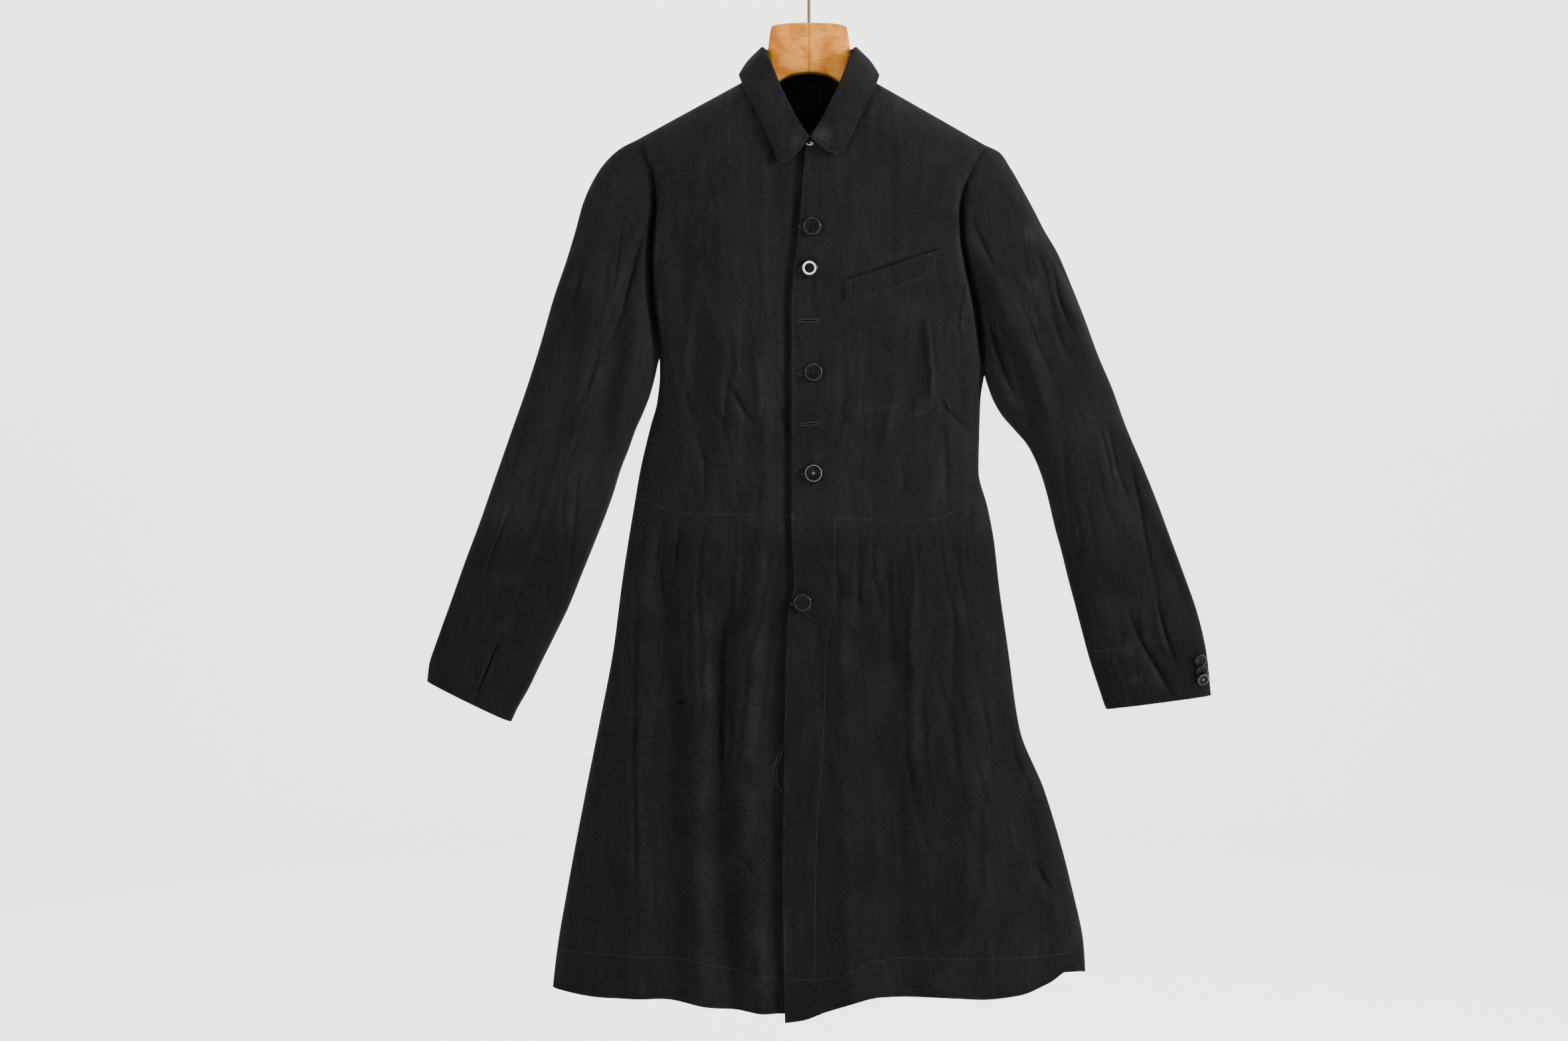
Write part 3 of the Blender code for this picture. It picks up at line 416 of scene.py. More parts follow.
@dataclass(frozen=True)
class Relief:
    """Everything that raises or sinks the cloth from its smooth form."""

    folds: tuple[Fold, ...] = ()
    creases: tuple[Crease, ...] = ()
    rumple: float = 0.5
    crumple: float = 0.22
    crease_gain: float = 1.7
    crease_width: float = 0.85
    seed: int = 1
    hem_z: float = -1100.0

    def fold_lift(self, x: Array, z: Array) -> Array:
        """Height of the broad folds, which fade at their ends unless they reach the hem.

        Args:
            x, z: places seen from the front, in millimetres.

        Returns:
            The lift at each place.
        """
        lift = np.zeros_like(x)
        for fold in self.folds:
            points = np.array(fold.points, float)
            down = -points[:, 1]
            centre = smooth(down, points[:, 0], -z)
            fade_in = ease(-z, down[0] - fold.width, down[0] + 3 * fold.width)
            fade_out = 1.0
            if points[-1, 1] > self.hem_z:
                fade_out = 1 - ease(-z, down[-1] - 3 * fold.width, down[-1] + fold.width)
            lift += fold.height * np.exp(-(((x - centre) / fold.width) ** 2)) * fade_in * fade_out
        return lift

    def crease_lift(self, x: Array, z: Array) -> Array:
        """Height of the small creases: a sharp ridge or trough that tapers to both ends.

        Args:
            x, z: places seen from the front, in millimetres.

        Returns:
            The lift at each place.
        """
        lift = np.zeros_like(x)
        for crease in self.creases:
            line = PHOTO.line(crease.places)
            reach = 4 * crease.width
            near = (
                (x > line[:, 0].min() - reach) & (x < line[:, 0].max() + reach)
                & (z > line[:, 1].min() - reach) & (z < line[:, 1].max() + reach)
            )
            if not near.any():
                continue
            away, share = segment_distance(x[near], z[near], line)
            taper = np.sin(np.clip(share, 0.02, 0.98) * math.pi) ** 0.6
            profile = 1 / (1 + (away / (self.crease_width * crease.width)) ** 2) ** 1.6
            lift[near] += self.crease_gain * crease.height * profile * taper
        return lift

    def rumple_lift(self, x: Array, z: Array) -> Array:
        """The slight unevenness of worn cloth, longer down the cloth than across it.

        Args:
            x, z: places seen from the front, in millimetres.

        Returns:
            The lift at each place.
        """
        broad = value_noise(x, z * 0.45, 34.0, self.seed)
        middle = value_noise(x + 0.3 * z, z * 0.7, 15.0, self.seed + 1)
        fine = value_noise(x, z, 7.0, self.seed + 2)
        return self.rumple * broad + self.crumple * middle + 0.35 * self.crumple * fine

    def lift(self, x: Array, z: Array) -> Array:
        """All of the relief together."""
        return self.fold_lift(x, z) + self.crease_lift(x, z) + self.rumple_lift(x, z)


@dataclass
class Panel:
    """One cut piece of cloth as a grid of points in millimetres.

    The weave holds each point's place in the flat cloth, and wear_and_highlight how pale it is rubbed.
    """

    name: str
    grid: Array
    weave: Array
    wear_and_highlight: Array

    def flipped(self) -> "Panel":
        """The same panel with its other side out."""
        return Panel(self.name, self.grid[:, ::-1], self.weave[:, ::-1], self.wear_and_highlight[:, ::-1])

    def crosses(self) -> Array:
        """The area vector of each cell."""
        g = self.grid
        return np.cross(g[1:, 1:] - g[:-1, :-1], g[:-1, 1:] - g[1:, :-1])

    def centres(self) -> Array:
        """The middle of each cell."""
        return (self.grid[1:, 1:] + self.grid[:-1, :-1]) / 2

    def facing_from(self, inside: Array) -> "Panel":
        """The panel with its outer side turned away from points inside the coat."""
        return self if np.sum(self.crosses() * (self.centres() - inside)) > 0 else self.flipped()

    def edge_distance(self) -> dict[str, Array]:
        """How far each point lies from each of the four edges, along the cloth.

        Returns:
            Distances in millimetres, by the edge's name.
        """
        result = {}
        for axis, names in ((0, ("top", "bottom")), (1, ("start", "end"))):
            run = run_length(self.grid, axis)
            whole = run[-1:] if axis == 0 else run[:, -1:]
            result[names[0]], result[names[1]] = run, whole - run
        return result

    def area(self) -> float:
        """Area in square metres."""
        return float(np.linalg.norm(self.crosses(), axis=-1).sum()) / 2 * MM * MM


def shared_normals(panels: Sequence[Panel]) -> list[Array]:
    """Normals of every panel's points, the same on both sides of a seam.

    Args:
        panels: the panels, already facing outwards.

    Returns:
        One array of unit vectors for each panel.
    """
    points, sums, spans = [], [], []
    start = 0
    for panel in panels:
        cross = panel.crosses()
        total = np.zeros_like(panel.grid)
        for di in (0, 1):
            for dj in (0, 1):
                total[di : di + cross.shape[0], dj : dj + cross.shape[1]] += cross
        points.append(panel.grid.reshape(-1, 3))
        sums.append(total.reshape(-1, 3))
        spans.append((start, start + len(points[-1])))
        start = spans[-1][1]
    keys = np.round(np.concatenate(points), 2)
    _, index = np.unique(keys, axis=0, return_inverse=True)
    index = index.reshape(-1)
    merged = np.zeros((index.max() + 1, 3))
    np.add.at(merged, index, np.concatenate(sums))
    normals = merged[index]
    normals /= np.linalg.norm(normals, axis=-1, keepdims=True)
    return [normals[a:b].reshape(panel.grid.shape) for panel, (a, b) in zip(panels, spans)]


def blurred(values: Array, steps: int) -> Array:
    """A grid of values smoothed by averaging each with its neighbours a few times.

    Args:
        values: the grid.
        steps: how often.

    Returns:
        The smoothed grid.
    """
    for _ in range(steps):
        padded = np.pad(values, ((1, 1), (1, 1)) + ((0, 0),) * (values.ndim - 2), mode="edge")
        around = padded[:-2, 1:-1] + padded[2:, 1:-1] + padded[1:-1, :-2] + padded[1:-1, 2:]
        values = 0.5 * values + 0.125 * around
    return values


def mesh_object(
    name: str, points: Array, faces: Sequence[Sequence[int]], sharp: float = 40.0
) -> bpy.types.Object:
    """A smooth-shaded mesh object at the origin.

    Args:
        name: the object's name.
        points: places in metres.
        faces: corner indices of each face.
        sharp: edges bent by more than this many degrees stay sharp.

    Returns:
        The object, linked to the scene.
    """
    mesh = bpy.data.meshes.new(name)
    mesh.from_pydata([tuple(map(float, p)) for p in points], [], [tuple(map(int, f)) for f in faces])
    mesh.update()
    mesh.shade_smooth()
    mesh.set_sharp_from_angle(angle=math.radians(sharp))
    made = bpy.data.objects.new(name, mesh)
    bpy.context.scene.collection.objects.link(made)
    return made


def wall_object(panel: Panel, normals: Array, thickness: float) -> bpy.types.Object:
    """A closed wall of cloth over a panel, with its weave and wear on it.

    Args:
        panel: the panel, facing outwards.
        normals: unit vectors at its points.
        thickness: of the cloth.

    Returns:
        The object.
    """
    rows, cols = panel.grid.shape[:2]
    outer, inner = panel.grid + normals * thickness / 2, panel.grid - normals * thickness / 2
    points = np.concatenate([outer.reshape(-1, 3), inner.reshape(-1, 3)]) * MM
    index = np.arange(rows * cols).reshape(rows, cols)
    quads = np.stack([index[:-1, :-1], index[1:, :-1], index[1:, 1:], index[:-1, 1:]], axis=-1).reshape(-1, 4)
    behind = rows * cols
    rim = np.concatenate([index[0, :-1], index[:-1, -1], index[-1, :0:-1], index[:0:-1, 0]])
    following = np.roll(rim, -1)
    rims = np.stack([rim, following, following + behind, rim + behind], axis=-1)
    faces = np.concatenate([quads, quads[:, ::-1] + behind, rims])
    made = mesh_object(panel.name, points, faces, sharp=60.0)
    mesh = made.data
    weave = np.tile(panel.weave.reshape(-1, 2), (2, 1))
    corners = np.empty(len(mesh.loops), dtype=np.int32)
    mesh.loops.foreach_get("vertex_index", corners)
    mesh.uv_layers.new(name="Weave").data.foreach_set("uv", weave[corners].astype(np.float32).ravel())
    worn = np.tile(panel.wear_and_highlight.reshape(-1), 2).astype(np.float32)
    mesh.attributes.new("wear_and_highlight", "FLOAT", "POINT").data.foreach_set("value", worn)
    return made


FORM = BodyForm()
Line = tuple[tuple[float, float], ...]


@dataclass(frozen=True)
class SideLines:
    """The seam and edge lines of one half of the body, seen from the front."""

    side: Side
    armhole: Line
    waist: Line
    hem: Line
    front: Line
    relief: Relief

    def sign(self) -> int:
        """-1 for the wearer's right, 1 for the left."""
        return self.side.value

    def front_x(self, z: Array) -> Array:
        """The front edge at heights z."""
        rows = np.array(self.front[::-1], float)
        return smooth(rows[:, 1], rows[:, 0], z)

    def side_seam(self, shares: Array, top_z: float, bottom_z: float) -> Array:
        """Points down the side seam."""
        z = top_z + (bottom_z - top_z) * np.asarray(shares)
        return np.stack([FORM.value("left" if self.sign() < 0 else "right", z), z], axis=-1)

    def shoulder(self, shares: Array) -> Array:
        """Points along the shoulder seam, from the neck to the shoulder point.

        Args:
            shares: where, from 0 to 1.

        Returns:
            The (x, z) points.
        """
        tip = np.array(self.armhole[0], float)
        start = np.array((self.sign() * FORM.neck_half, FORM.neck_side_z))
        return start + (tip - start) * np.asarray(shares)[:, None]


@dataclass
class CoatBody:
    """Bodice and skirt of the coat: two fronts that lap, and a back, joined at the waist."""

    armhole_rows: int = 108
    side_rows: int = 62
    skirt_rows: int = 210
    neck_columns: int = 26
    shoulder_columns: int = 76
    back_neck_columns: int = 30
    lap_step: float = 3.4
    lap_sink: tuple[float, float] = (-52.0, -34.0)
    lap_middle: float = -8.0
    lap_flat: float = 24.0
    channel_depth: float = 5.0
    channel_half: float = 5.5
    channel_off: float = 2.0
    back_waist_dip: float = 10.0
    back_hem_dip: float = 14.0
    right: SideLines = field(default_factory=lambda: RIGHT_LINES)
    left: SideLines = field(default_factory=lambda: LEFT_LINES)
    back_relief: Relief = field(default_factory=lambda: BACK_RELIEF)

    def outer_edge(self, lines: SideLines) -> Array:
        """Armhole and side seam, from the shoulder point down to the waist.

        Args:
            lines: one half's lines.

        Returns:
            The (x, z) points.
        """
        armhole = along(lines.armhole, round_shares(self.armhole_rows))
        rows = np.linspace(0, 1, self.side_rows + 1)
        seam = lines.side_seam(rows, armhole[-1, 1], lines.waist[-1][1])
        return np.concatenate([armhole, seam[1:]])

    def front_bodice(self, lines: SideLines) -> Array:
        """The flat grid of a front above the waist.

        Args:
            lines: its lines.

        Returns:
            Rows of (x, z) points.
        """
        side = lines.sign()
        centre_x = lines.front[0][0]
        neck_x = np.concatenate([[centre_x], np.linspace(0, side * FORM.neck_half, self.neck_columns)])
        if side > 0:
            neck_x[:2] = centre_x, centre_x * 0.5
        neck = np.stack([neck_x, FORM.neck_front(neck_x * side)], axis=-1)
        shoulder = lines.shoulder(crowd_end(self.shoulder_columns, 0.2))
        top = np.concatenate([neck, shoulder[1:]])
        bottom = along(lines.waist, crowd_end(self.neck_columns + self.shoulder_columns))
        end = self.outer_edge(lines)
        edge_z = np.linspace(top[0, 1], bottom[0, 1], len(end))
        start = np.stack([lines.front_x(edge_z), edge_z], axis=-1)
        bottom[0] = start[-1]
        return coons(top, bottom, start, end)

    def front_skirt(self, lines: SideLines, bodice: Array) -> Array:
        """The flat grid of a front below the waist.

        Args:
            lines: its lines.
            bodice: the grid above it.

        Returns:
            Rows of (x, z) points.
        """
        top = bodice[-1]
        bottom = along(lines.hem, crowd_end(len(top) - 1))
        start_z = np.linspace(top[0, 1], lines.hem[0][1], self.skirt_rows + 1)
        start = np.stack([lines.front_x(start_z), start_z], axis=-1)
        rows = np.linspace(0, 1, self.skirt_rows + 1)
        end = lines.side_seam(rows, top[-1, 1], lines.hem[-1][1])
        bottom[0], bottom[-1] = start[-1], end[-1]
        return coons(top, bottom, start, end)

    def back_bodice(self) -> Array:
        """The flat grid of the back above the waist.

        Returns:
            Rows of (x, z) points.
        """
        right, left = self.outer_edge(self.right), self.outer_edge(self.left)
        shares = crowd_end(self.shoulder_columns, 0.2)
        neck_x = np.linspace(-FORM.neck_half, FORM.neck_half, self.back_neck_columns + 1)[1:-1]
        neck = np.stack([neck_x, FORM.neck_back(neck_x)], axis=-1)
        top = np.concatenate([self.right.shoulder(shares)[::-1], neck, self.left.shoulder(shares)])
        mixed = 0.45 * round_shares(len(top) - 1) + 0.55 * np.linspace(0, 1, len(top))
        bottom = right[-1] + (left[-1] - right[-1]) * mixed[:, None]
        bottom[:, 1] -= self.back_waist_dip * np.sin(mixed * math.pi)
        return coons(top, bottom, right, left)

    def back_skirt(self, bodice: Array) -> Array:
        """The flat grid of the back below the waist.

        Args:
            bodice: the grid above it.

        Returns:
            Rows of (x, z) points.
        """
        top = bodice[-1]
        rows = np.linspace(0, 1, self.skirt_rows + 1)
        right = self.right.side_seam(rows, top[0, 1], self.right.hem[-1][1])
        left = self.left.side_seam(rows, top[-1, 1], self.left.hem[-1][1])
        shares = np.clip((top[:, 0] - top[0, 0]) / (top[-1, 0] - top[0, 0]), 0, 1)
        bottom = right[-1] + (left[-1] - right[-1]) * shares[:, None]
        bottom[:, 1] -= self.back_hem_dip * np.sin(shares * math.pi) ** 0.7
        return coons(top, bottom, right, left)

    def front_lift(self, lines: SideLines, x: Array, z: Array) -> Array:
        """Relief of a front, flat where the fronts lap.

        Args:
            lines: its lines.
            x, z: places seen from the front, in millimetres.

        Returns:
            The lift at each place.
        """
        lift = lines.relief.lift(x, z) * FORM.side_fade(x, z)
        calm = ease(np.abs(x - self.lap_middle), self.lap_flat * 0.8, 2 * self.lap_flat)
        shallow = np.clip(lift, -0.7, 0.7)
        return np.where(calm < 1, shallow + (lift - shallow) * calm, lift)

    def front_y(self, lines: SideLines, x: Array, z: Array) -> Array:
        """Depth of a front's middle surface.

        Args:
            lines: its lines.
            x, z: places seen from the front, in millimetres.

        Returns:
            Y at each place.
        """
        y = FORM.depth(x, z, Face.FRONT) - self.front_lift(lines, x, z)
        if lines.side is Side.RIGHT:
            y = y + self.lap_step * ease(x, *self.lap_sink) + self.channel(x, z)
        return y

    def channel(self, x: Array, z: Array) -> Array:
        """How far the right front sinks just beside the left one's edge, where the cloth parts.

        Args:
            x, z: places seen from the front, in millimetres.

        Returns:
            The depth at each place.
        """
        middle = self.left.front_x(z) - self.channel_off
        depth = self.channel_depth * (0.55 + 0.45 * value_noise(x * 0, z, 48.0, 5))
        reach = ease(-z, 225, 300) * (1 - 0.6 * ease(-z, 620, 760))
        return depth * reach * np.exp(-(((x - middle) / self.channel_half) ** 2))

    def back_y(self, x: Array, z: Array) -> Array:
        """Depth of the back's middle surface."""
        return FORM.depth(x, z, Face.BACK) + self.back_relief.lift(x, z) * FORM.side_fade(x, z)

    def panel(self, name: str, flat: Array, y: Array) -> Panel:
        """A panel over a flat grid, with the flat grid as its weave."""
        x, z = flat[..., 0], flat[..., 1]
        return Panel(name, np.stack([x, y, z], axis=-1), flat * MM, np.zeros(x.shape))

    def build(self) -> list[Panel]:
        """The six panels of the body, facing outwards.

        Returns:
            The back's two panels, then each front's two.
        """
        middle = np.array((0, 0, -600.0))
        back = self.back_bodice()
        skirt = self.back_skirt(back)
        made = [
            self.panel("bodice_back_cloth", back, self.back_y(back[..., 0], back[..., 1])),
            self.panel("skirt_back_cloth", skirt, self.back_y(skirt[..., 0], skirt[..., 1])),
        ]
        for lines in (self.right, self.left):
            word = lines.side.name.lower()
            bodice = self.front_bodice(lines)
            skirt = self.front_skirt(lines, bodice)
            for part, flat in (("bodice", bodice), ("skirt", skirt)):
                y = self.front_y(lines, flat[..., 0], flat[..., 1])
                if part == "bodice":
                    y = y + armhole_valley(flat[..., 0], flat[..., 1], flat[: self.armhole_rows + 1, -1])
                made.append(self.panel(f"{part}_front_{word}_cloth", flat, y))
        return [panel.facing_from(middle) for panel in made]


class Station(NamedTuple):
    """A section of a sleeve: its outer and inner point, and how far it stands forward and back."""

    out_x: float
    out_z: float
    in_x: float
    in_z: float
    front: float
    back: float


class SleeveFold(NamedTuple):
    """A drag fold, drawn as section point against station."""

    height: float
    width: float
    start_point: float
    start_station: float
    end_point: float
    end_station: float


@dataclass(frozen=True)
class SleeveForm:
    """One sleeve: its sections from the armhole to the wrist, its seams and its folds.

    Section points run from 0 at the outer edge to SECTION_POINTS at the inner one.
    """

    side: Side
    stations: tuple[Station, ...]
    fore_seam: int
    drift: float
    folds: tuple[SleeveFold, ...]
    relief: Relief
    hind_seam: int = 5
    section_points: int = 9
    rows_per_station: int = 11
    blend_stations: float = 4.0
    swell_power: float = 0.8
    back_fold_share: float = 0.6

    def rings(self, front_edge: Array, back_edge: Array) -> Array:
        """Closed sections: the armhole itself, easing into flattened tubes down the arm.

        Args:
            front_edge, back_edge: the armhole in the body's front and back, from the shoulder down.

        Returns:
            Points by section, then round each section.
        """
        half = len(front_edge) - 1
        turn = np.linspace(0, math.pi, half + 1)
        armhole = np.concatenate([front_edge, back_edge[1:-1][::-1]])
        count = (len(self.stations) - 1) * self.rows_per_station
        at = np.linspace(0, len(self.stations) - 1, count + 1)
        keys = np.arange(len(self.stations))
        table = {name: smooth(keys, column(self.stations, name), at) for name in Station._fields}
        swell = np.sin(turn) ** self.swell_power
        rings = []
        for row, k in enumerate(at):
            shares = (1 - np.cos(turn)) / 2 + self.drift * ease(k, 1, 9) * np.sin(turn) ** 2
            outer = np.array((table["out_x"][row], table["out_z"][row]))
            inner = np.array((table["in_x"][row], table["in_z"][row]))
            flat = outer + (inner - outer) * shares[:, None]
            front = np.stack([flat[:, 0], -table["front"][row] * swell, flat[:, 1]], axis=-1)
            back = np.stack([flat[:, 0], table["back"][row] * swell, flat[:, 1]], axis=-1)
            rings.append(np.concatenate([front, back[1:-1][::-1]]))
        rings = np.array(rings)
        spread = armhole - rings[0]
        rings += spread[None] * (np.clip(1 - at / self.blend_stations, 0, 1) ** 1.5)[:, None, None]
        rings[..., 1] += self.fold_depth(at, half)
        rings[..., 1] += self.relief_depth(rings, at, turn)
        front = rings[:, 1:half]
        front[..., 1] += armhole_valley(front[..., 0], front[..., 2], front_edge[:, [0, 2]])
        return rings

    def fold_depth(self, at: Array, half: int) -> Array:
        """Depth added by the drag folds, forwards on the front and backwards behind.

        Args:
            at: station of each section.
            half: steps from the outer edge to the inner one.

        Returns:
            Depth by section and point.
        """
        points = np.arange(2 * half) * self.section_points / half
        mirrored = 2 * self.section_points - points
        on_front = (points > 0) & (points < self.section_points)
        behind = points > self.section_points
        depth = np.zeros((len(at), 2 * half))
        for fold in self.folds:
            share = (at - fold.start_station) / (fold.end_station - fold.start_station)
            centre = (fold.start_point + (fold.end_point - fold.start_point) * share)[:, None]
            strength = (fold.height * ease(share, -0.1, 0.25) * (1 - ease(share, 0.75, 1.1)))[:, None]
            depth -= np.where(on_front, strength * np.exp(-(((points - centre) / fold.width) ** 2)), 0)
            hind = np.exp(-(((mirrored - centre) / fold.width) ** 2))
            depth += np.where(behind, strength * hind * self.back_fold_share, 0)
        return depth

    def relief_depth(self, rings: Array, at: Array, turn: Array) -> Array:
        """Depth added by creases and rumples, which fade at the outline and at the armhole.

        Args:
            rings: points by section, then round each section.
            at: station of each section.
            turn: angle of each point of the front half.

        Returns:
            Depth by section and point.
        """
        half = len(turn) - 1
        depth = np.zeros(rings.shape[:2])
        inside = ease(np.sin(turn), 0.08, 0.55)
        ramp = ease(at, 0.0, 1.4)[:, None]
        front, back = slice(1, half), slice(half + 1, 2 * half)
        x, z = rings[..., 0], rings[..., 2]
        depth[:, front] = -self.relief.lift(x[:, front], z[:, front]) * inside[1:-1] * ramp
        behind = self.relief.rumple_lift(x[:, back] + 700, z[:, back]) * 1.6
        depth[:, back] = behind * inside[1:-1] * ramp
        return depth

    def build(self, front_edge: Array, back_edge: Array) -> list[Panel]:
        """Upper and under sleeve, cut along the fore seam and the hind seam.

        Args:
            front_edge, back_edge: the armhole in the body's front and back.

        Returns:
            The two panels, facing outwards.
        """
        rings = self.rings(front_edge, back_edge)
        count = rings.shape[1]
        per_point = count // (2 * self.section_points)
        fore = self.fore_seam * per_point
        hind = count - self.hind_seam * per_point
        upper = [i % count for i in range(hind, count + fore + 1)]
        under = list(range(fore, hind + 1))
        middles = np.array([((s.out_x + s.in_x) / 2, 0.0, (s.out_z + s.in_z) / 2) for s in self.stations])
        keys = np.arange(len(middles))
        at = (np.arange(len(rings) - 1) + 0.5) / self.rows_per_station
        axis = np.stack([smooth(keys, middles[:, i], at) for i in range(3)], axis=-1)[:, None]
        made = []
        for word, members in (("upper", upper), ("under", under)):
            grid = rings[:, members]
            across = run_length(grid, 1)
            across -= across[:, -1:] / 2
            weave = np.stack([across, run_length(grid, 0)], axis=-1) * MM
            name = f"sleeve_{self.side.name.lower()}_{word}_cloth"
            made.append(Panel(name, grid, weave, np.zeros(grid.shape[:2])).facing_from(axis))
        return made


class CollarRow(NamedTuple):
    """Half of the collar, from its front end to the centre back; turn is the way the fall faces."""

    seam_x: float
    roll_x: float
    roll_z: float
    edge_x: float
    edge_y: float
    edge_z: float
    turn: float


@dataclass
class Collar:
    """A turned-down collar: a stand up from the neck seam, a roll, and a fall to a pointed edge."""

    rows: tuple[CollarRow, ...] = (
        CollarRow(1, 1, -212.5, 33.5, -46.8, -241, 0),
        CollarRow(12, 12.5, -195, 43, -46.8, -218, 6),
        CollarRow(22, 21.5, -177.5, 52.5, -46, -196, 12),
        CollarRow(32, 31.5, -157, 64, -42, -172, 20),
        CollarRow(41, 39.5, -136, 74.5, -27, -149, 32),
        CollarRow(48, 46, -118, 77.6, -13, -138, 52),
        CollarRow(53, 50.5, -105.5, 77.8, 1, -135, 90),
        CollarRow(46, 45, -106, 73.5, 15, -140, 132),
        CollarRow(28, 28, -107.5, 44, 26, -149, 162),
        CollarRow(0, 0, -108, 0, 29, -152, 180),
    )
    stations: int = 150
    roll_half: float = 1.9
    roll_rise: float = 1.2
    gap: float = 1.1
    fall_crown: float = 2.6
    stand_steps: int = 10
    roll_steps: int = 6
    fall_steps: int = 18
    rumple: float = 0.5
    right_bulge: float = 7.5
    left_rounding: float = 9.0
    end_reach: float = 15.0
    relief: Relief = Relief(
        creases=(
            Crease(-0.9, 3.0, ((1194, 178), (1186, 205), (1180, 245))),
            Crease(-0.6, 3.0, ((1247, 160), (1250, 185), (1258, 215))),
        ),
    )

    def shape_ends(self, grid: Array, side: Array) -> Array:
        """Bulges the right leaf's front end downwards and rounds the left leaf's corner.

        Args:
            grid: the collar's points.
            side: -1 or 1 for each row.

        Returns:
            The points.
        """
        first = self.stand_steps + self.roll_steps
        steps = np.linalg.norm(np.diff(grid[:, -1], axis=0), axis=-1)
        run = np.concatenate([[0], np.cumsum(steps)])
        near = np.exp(-((np.minimum(run, run[-1] - run) / self.end_reach) ** 2))
        s = np.linspace(0, 1, grid.shape[1] - first)
        grid = grid.copy()
        bulge = np.outer(near * (side < 0), np.sin(math.pi * s) ** 0.8) * self.right_bulge
        grid[:, first:, 2] -= bulge
        inward = np.outer(near**2 * (side > 0), ease(s, 0.5, 1.0)) * self.left_rounding
        grid[:, first:, 2] += inward
        grid[:, first:, 0] -= 0.35 * inward
        fall = grid[:, first:]
        forward = fall[..., 1] < -30
        fall[..., 1] -= np.where(forward, self.relief.crease_lift(fall[..., 0], fall[..., 2]), 0)
        return grid

    def build(self) -> Panel:
        """The collar as one panel, facing outwards on the fall.

        Returns:
            The panel.
        """
        half = len(self.rows) - 1
        shares = np.linspace(-1, 1, self.stations + 1)
        at = 1 - np.abs(shares)
        keys = np.linspace(0, 1, half + 1)
        value = {name: smooth(keys, column(self.rows, name), at) for name in CollarRow._fields}
        side = np.where(shares <= 0, -1.0, 1.0)
        seam_x = side * value["seam_x"]
        behind = value["turn"] > 90
        seam_z = np.where(behind, FORM.neck_back(seam_x), FORM.neck_front(value["seam_x"]))
        back_y, front_y = FORM.depth(seam_x, seam_z, Face.BACK), FORM.depth(seam_x, seam_z, Face.FRONT)
        seam_y = np.where(behind, back_y, front_y)
        turn = np.radians(value["turn"])
        outward = np.stack([side * np.sin(turn), -np.cos(turn), np.zeros_like(turn)], axis=-1)
        seam = np.stack([seam_x, seam_y, seam_z], axis=-1)
        roll = np.stack([side * value["roll_x"], seam_y, value["roll_z"]], axis=-1) + outward * self.roll_half
        edge = np.stack([side * value["edge_x"], value["edge_y"], value["edge_z"]], axis=-1)
        inside, outside = roll - outward * self.roll_half, roll + outward * self.roll_half
        climb = inside - seam
        climb /= np.linalg.norm(climb, axis=-1, keepdims=True)
        seam = seam + climb * self.gap
        columns = [seam + (inside - seam) * s for s in np.linspace(0, 1, self.stand_steps + 1)]
        for step in range(1, self.roll_steps + 1):
            angle = math.pi * (1 - step / self.roll_steps)
            rise = np.array((0, 0, self.roll_rise * math.sin(angle)))
            columns.append(roll + outward * self.roll_half * math.cos(angle) + rise)
        wave = value_noise(shares * 9.0, shares * 0 + 0.4, 1.0, 41)[:, None]
        for s in np.linspace(0, 1, self.fall_steps + 1)[1:]:
            crown = outward * (self.fall_crown * math.sin(math.pi * s) + self.rumple * s * (wave + 1) / 2)
            columns.append(outside + (edge - outside) * s + crown)
        grid = self.shape_ends(np.stack(columns, axis=1), side)
        weave = np.stack([run_length(grid, 0), run_length(grid, 1)], axis=-1) * MM
        panel = Panel("collar_cloth", grid, weave, np.zeros(grid.shape[:2]))
        fall = panel.crosses()[:, self.stand_steps + self.roll_steps :]
        middle = panel.centres()[:, self.stand_steps + self.roll_steps :] - np.array((0, 0, -200.0))
        if np.sum(fall * middle) < 0:
            panel = Panel(panel.name, grid[::-1], weave[::-1], panel.wear_and_highlight)
        return panel


def scattered(
    seed: int, count: int, columns: tuple[float, float], rows: tuple[float, float],
    length: tuple[float, float], lean: float, height: tuple[float, float] = (-1.5, -0.5),
    wander: float = 0.06,
) -> tuple[Crease, ...]:
    """Small creases spread over part of the cloth.

    Args:
        seed: which set.
        count: how many.
        columns, rows: the range of their upper ends, in pixels.
        length: their shortest and longest.
        lean: how far they lean outwards, as a share of their length, at the range's far side.
        height: their lowest and highest relief.
        wander: how much they bend and tilt, as a share of their length.

    Returns:
        The creases.
    """
    random = np.random.default_rng(seed)
    made = []
    for k in range(count):
        share = (k + random.uniform(0.1, 0.9)) / count
        x, y = columns[0] + (columns[1] - columns[0]) * share, random.uniform(*rows)
        reach = random.uniform(*length)
        end = x + reach * (lean * share + random.normal(0, wander))
        middle = (x + end) / 2 + reach * random.normal(0, wander / 2)
        line = ((x, y), (middle, y + reach / 2), (end, y + reach))
        made.append(Crease(random.uniform(*height), random.uniform(2.0, 4.2), line))
    return tuple(made)


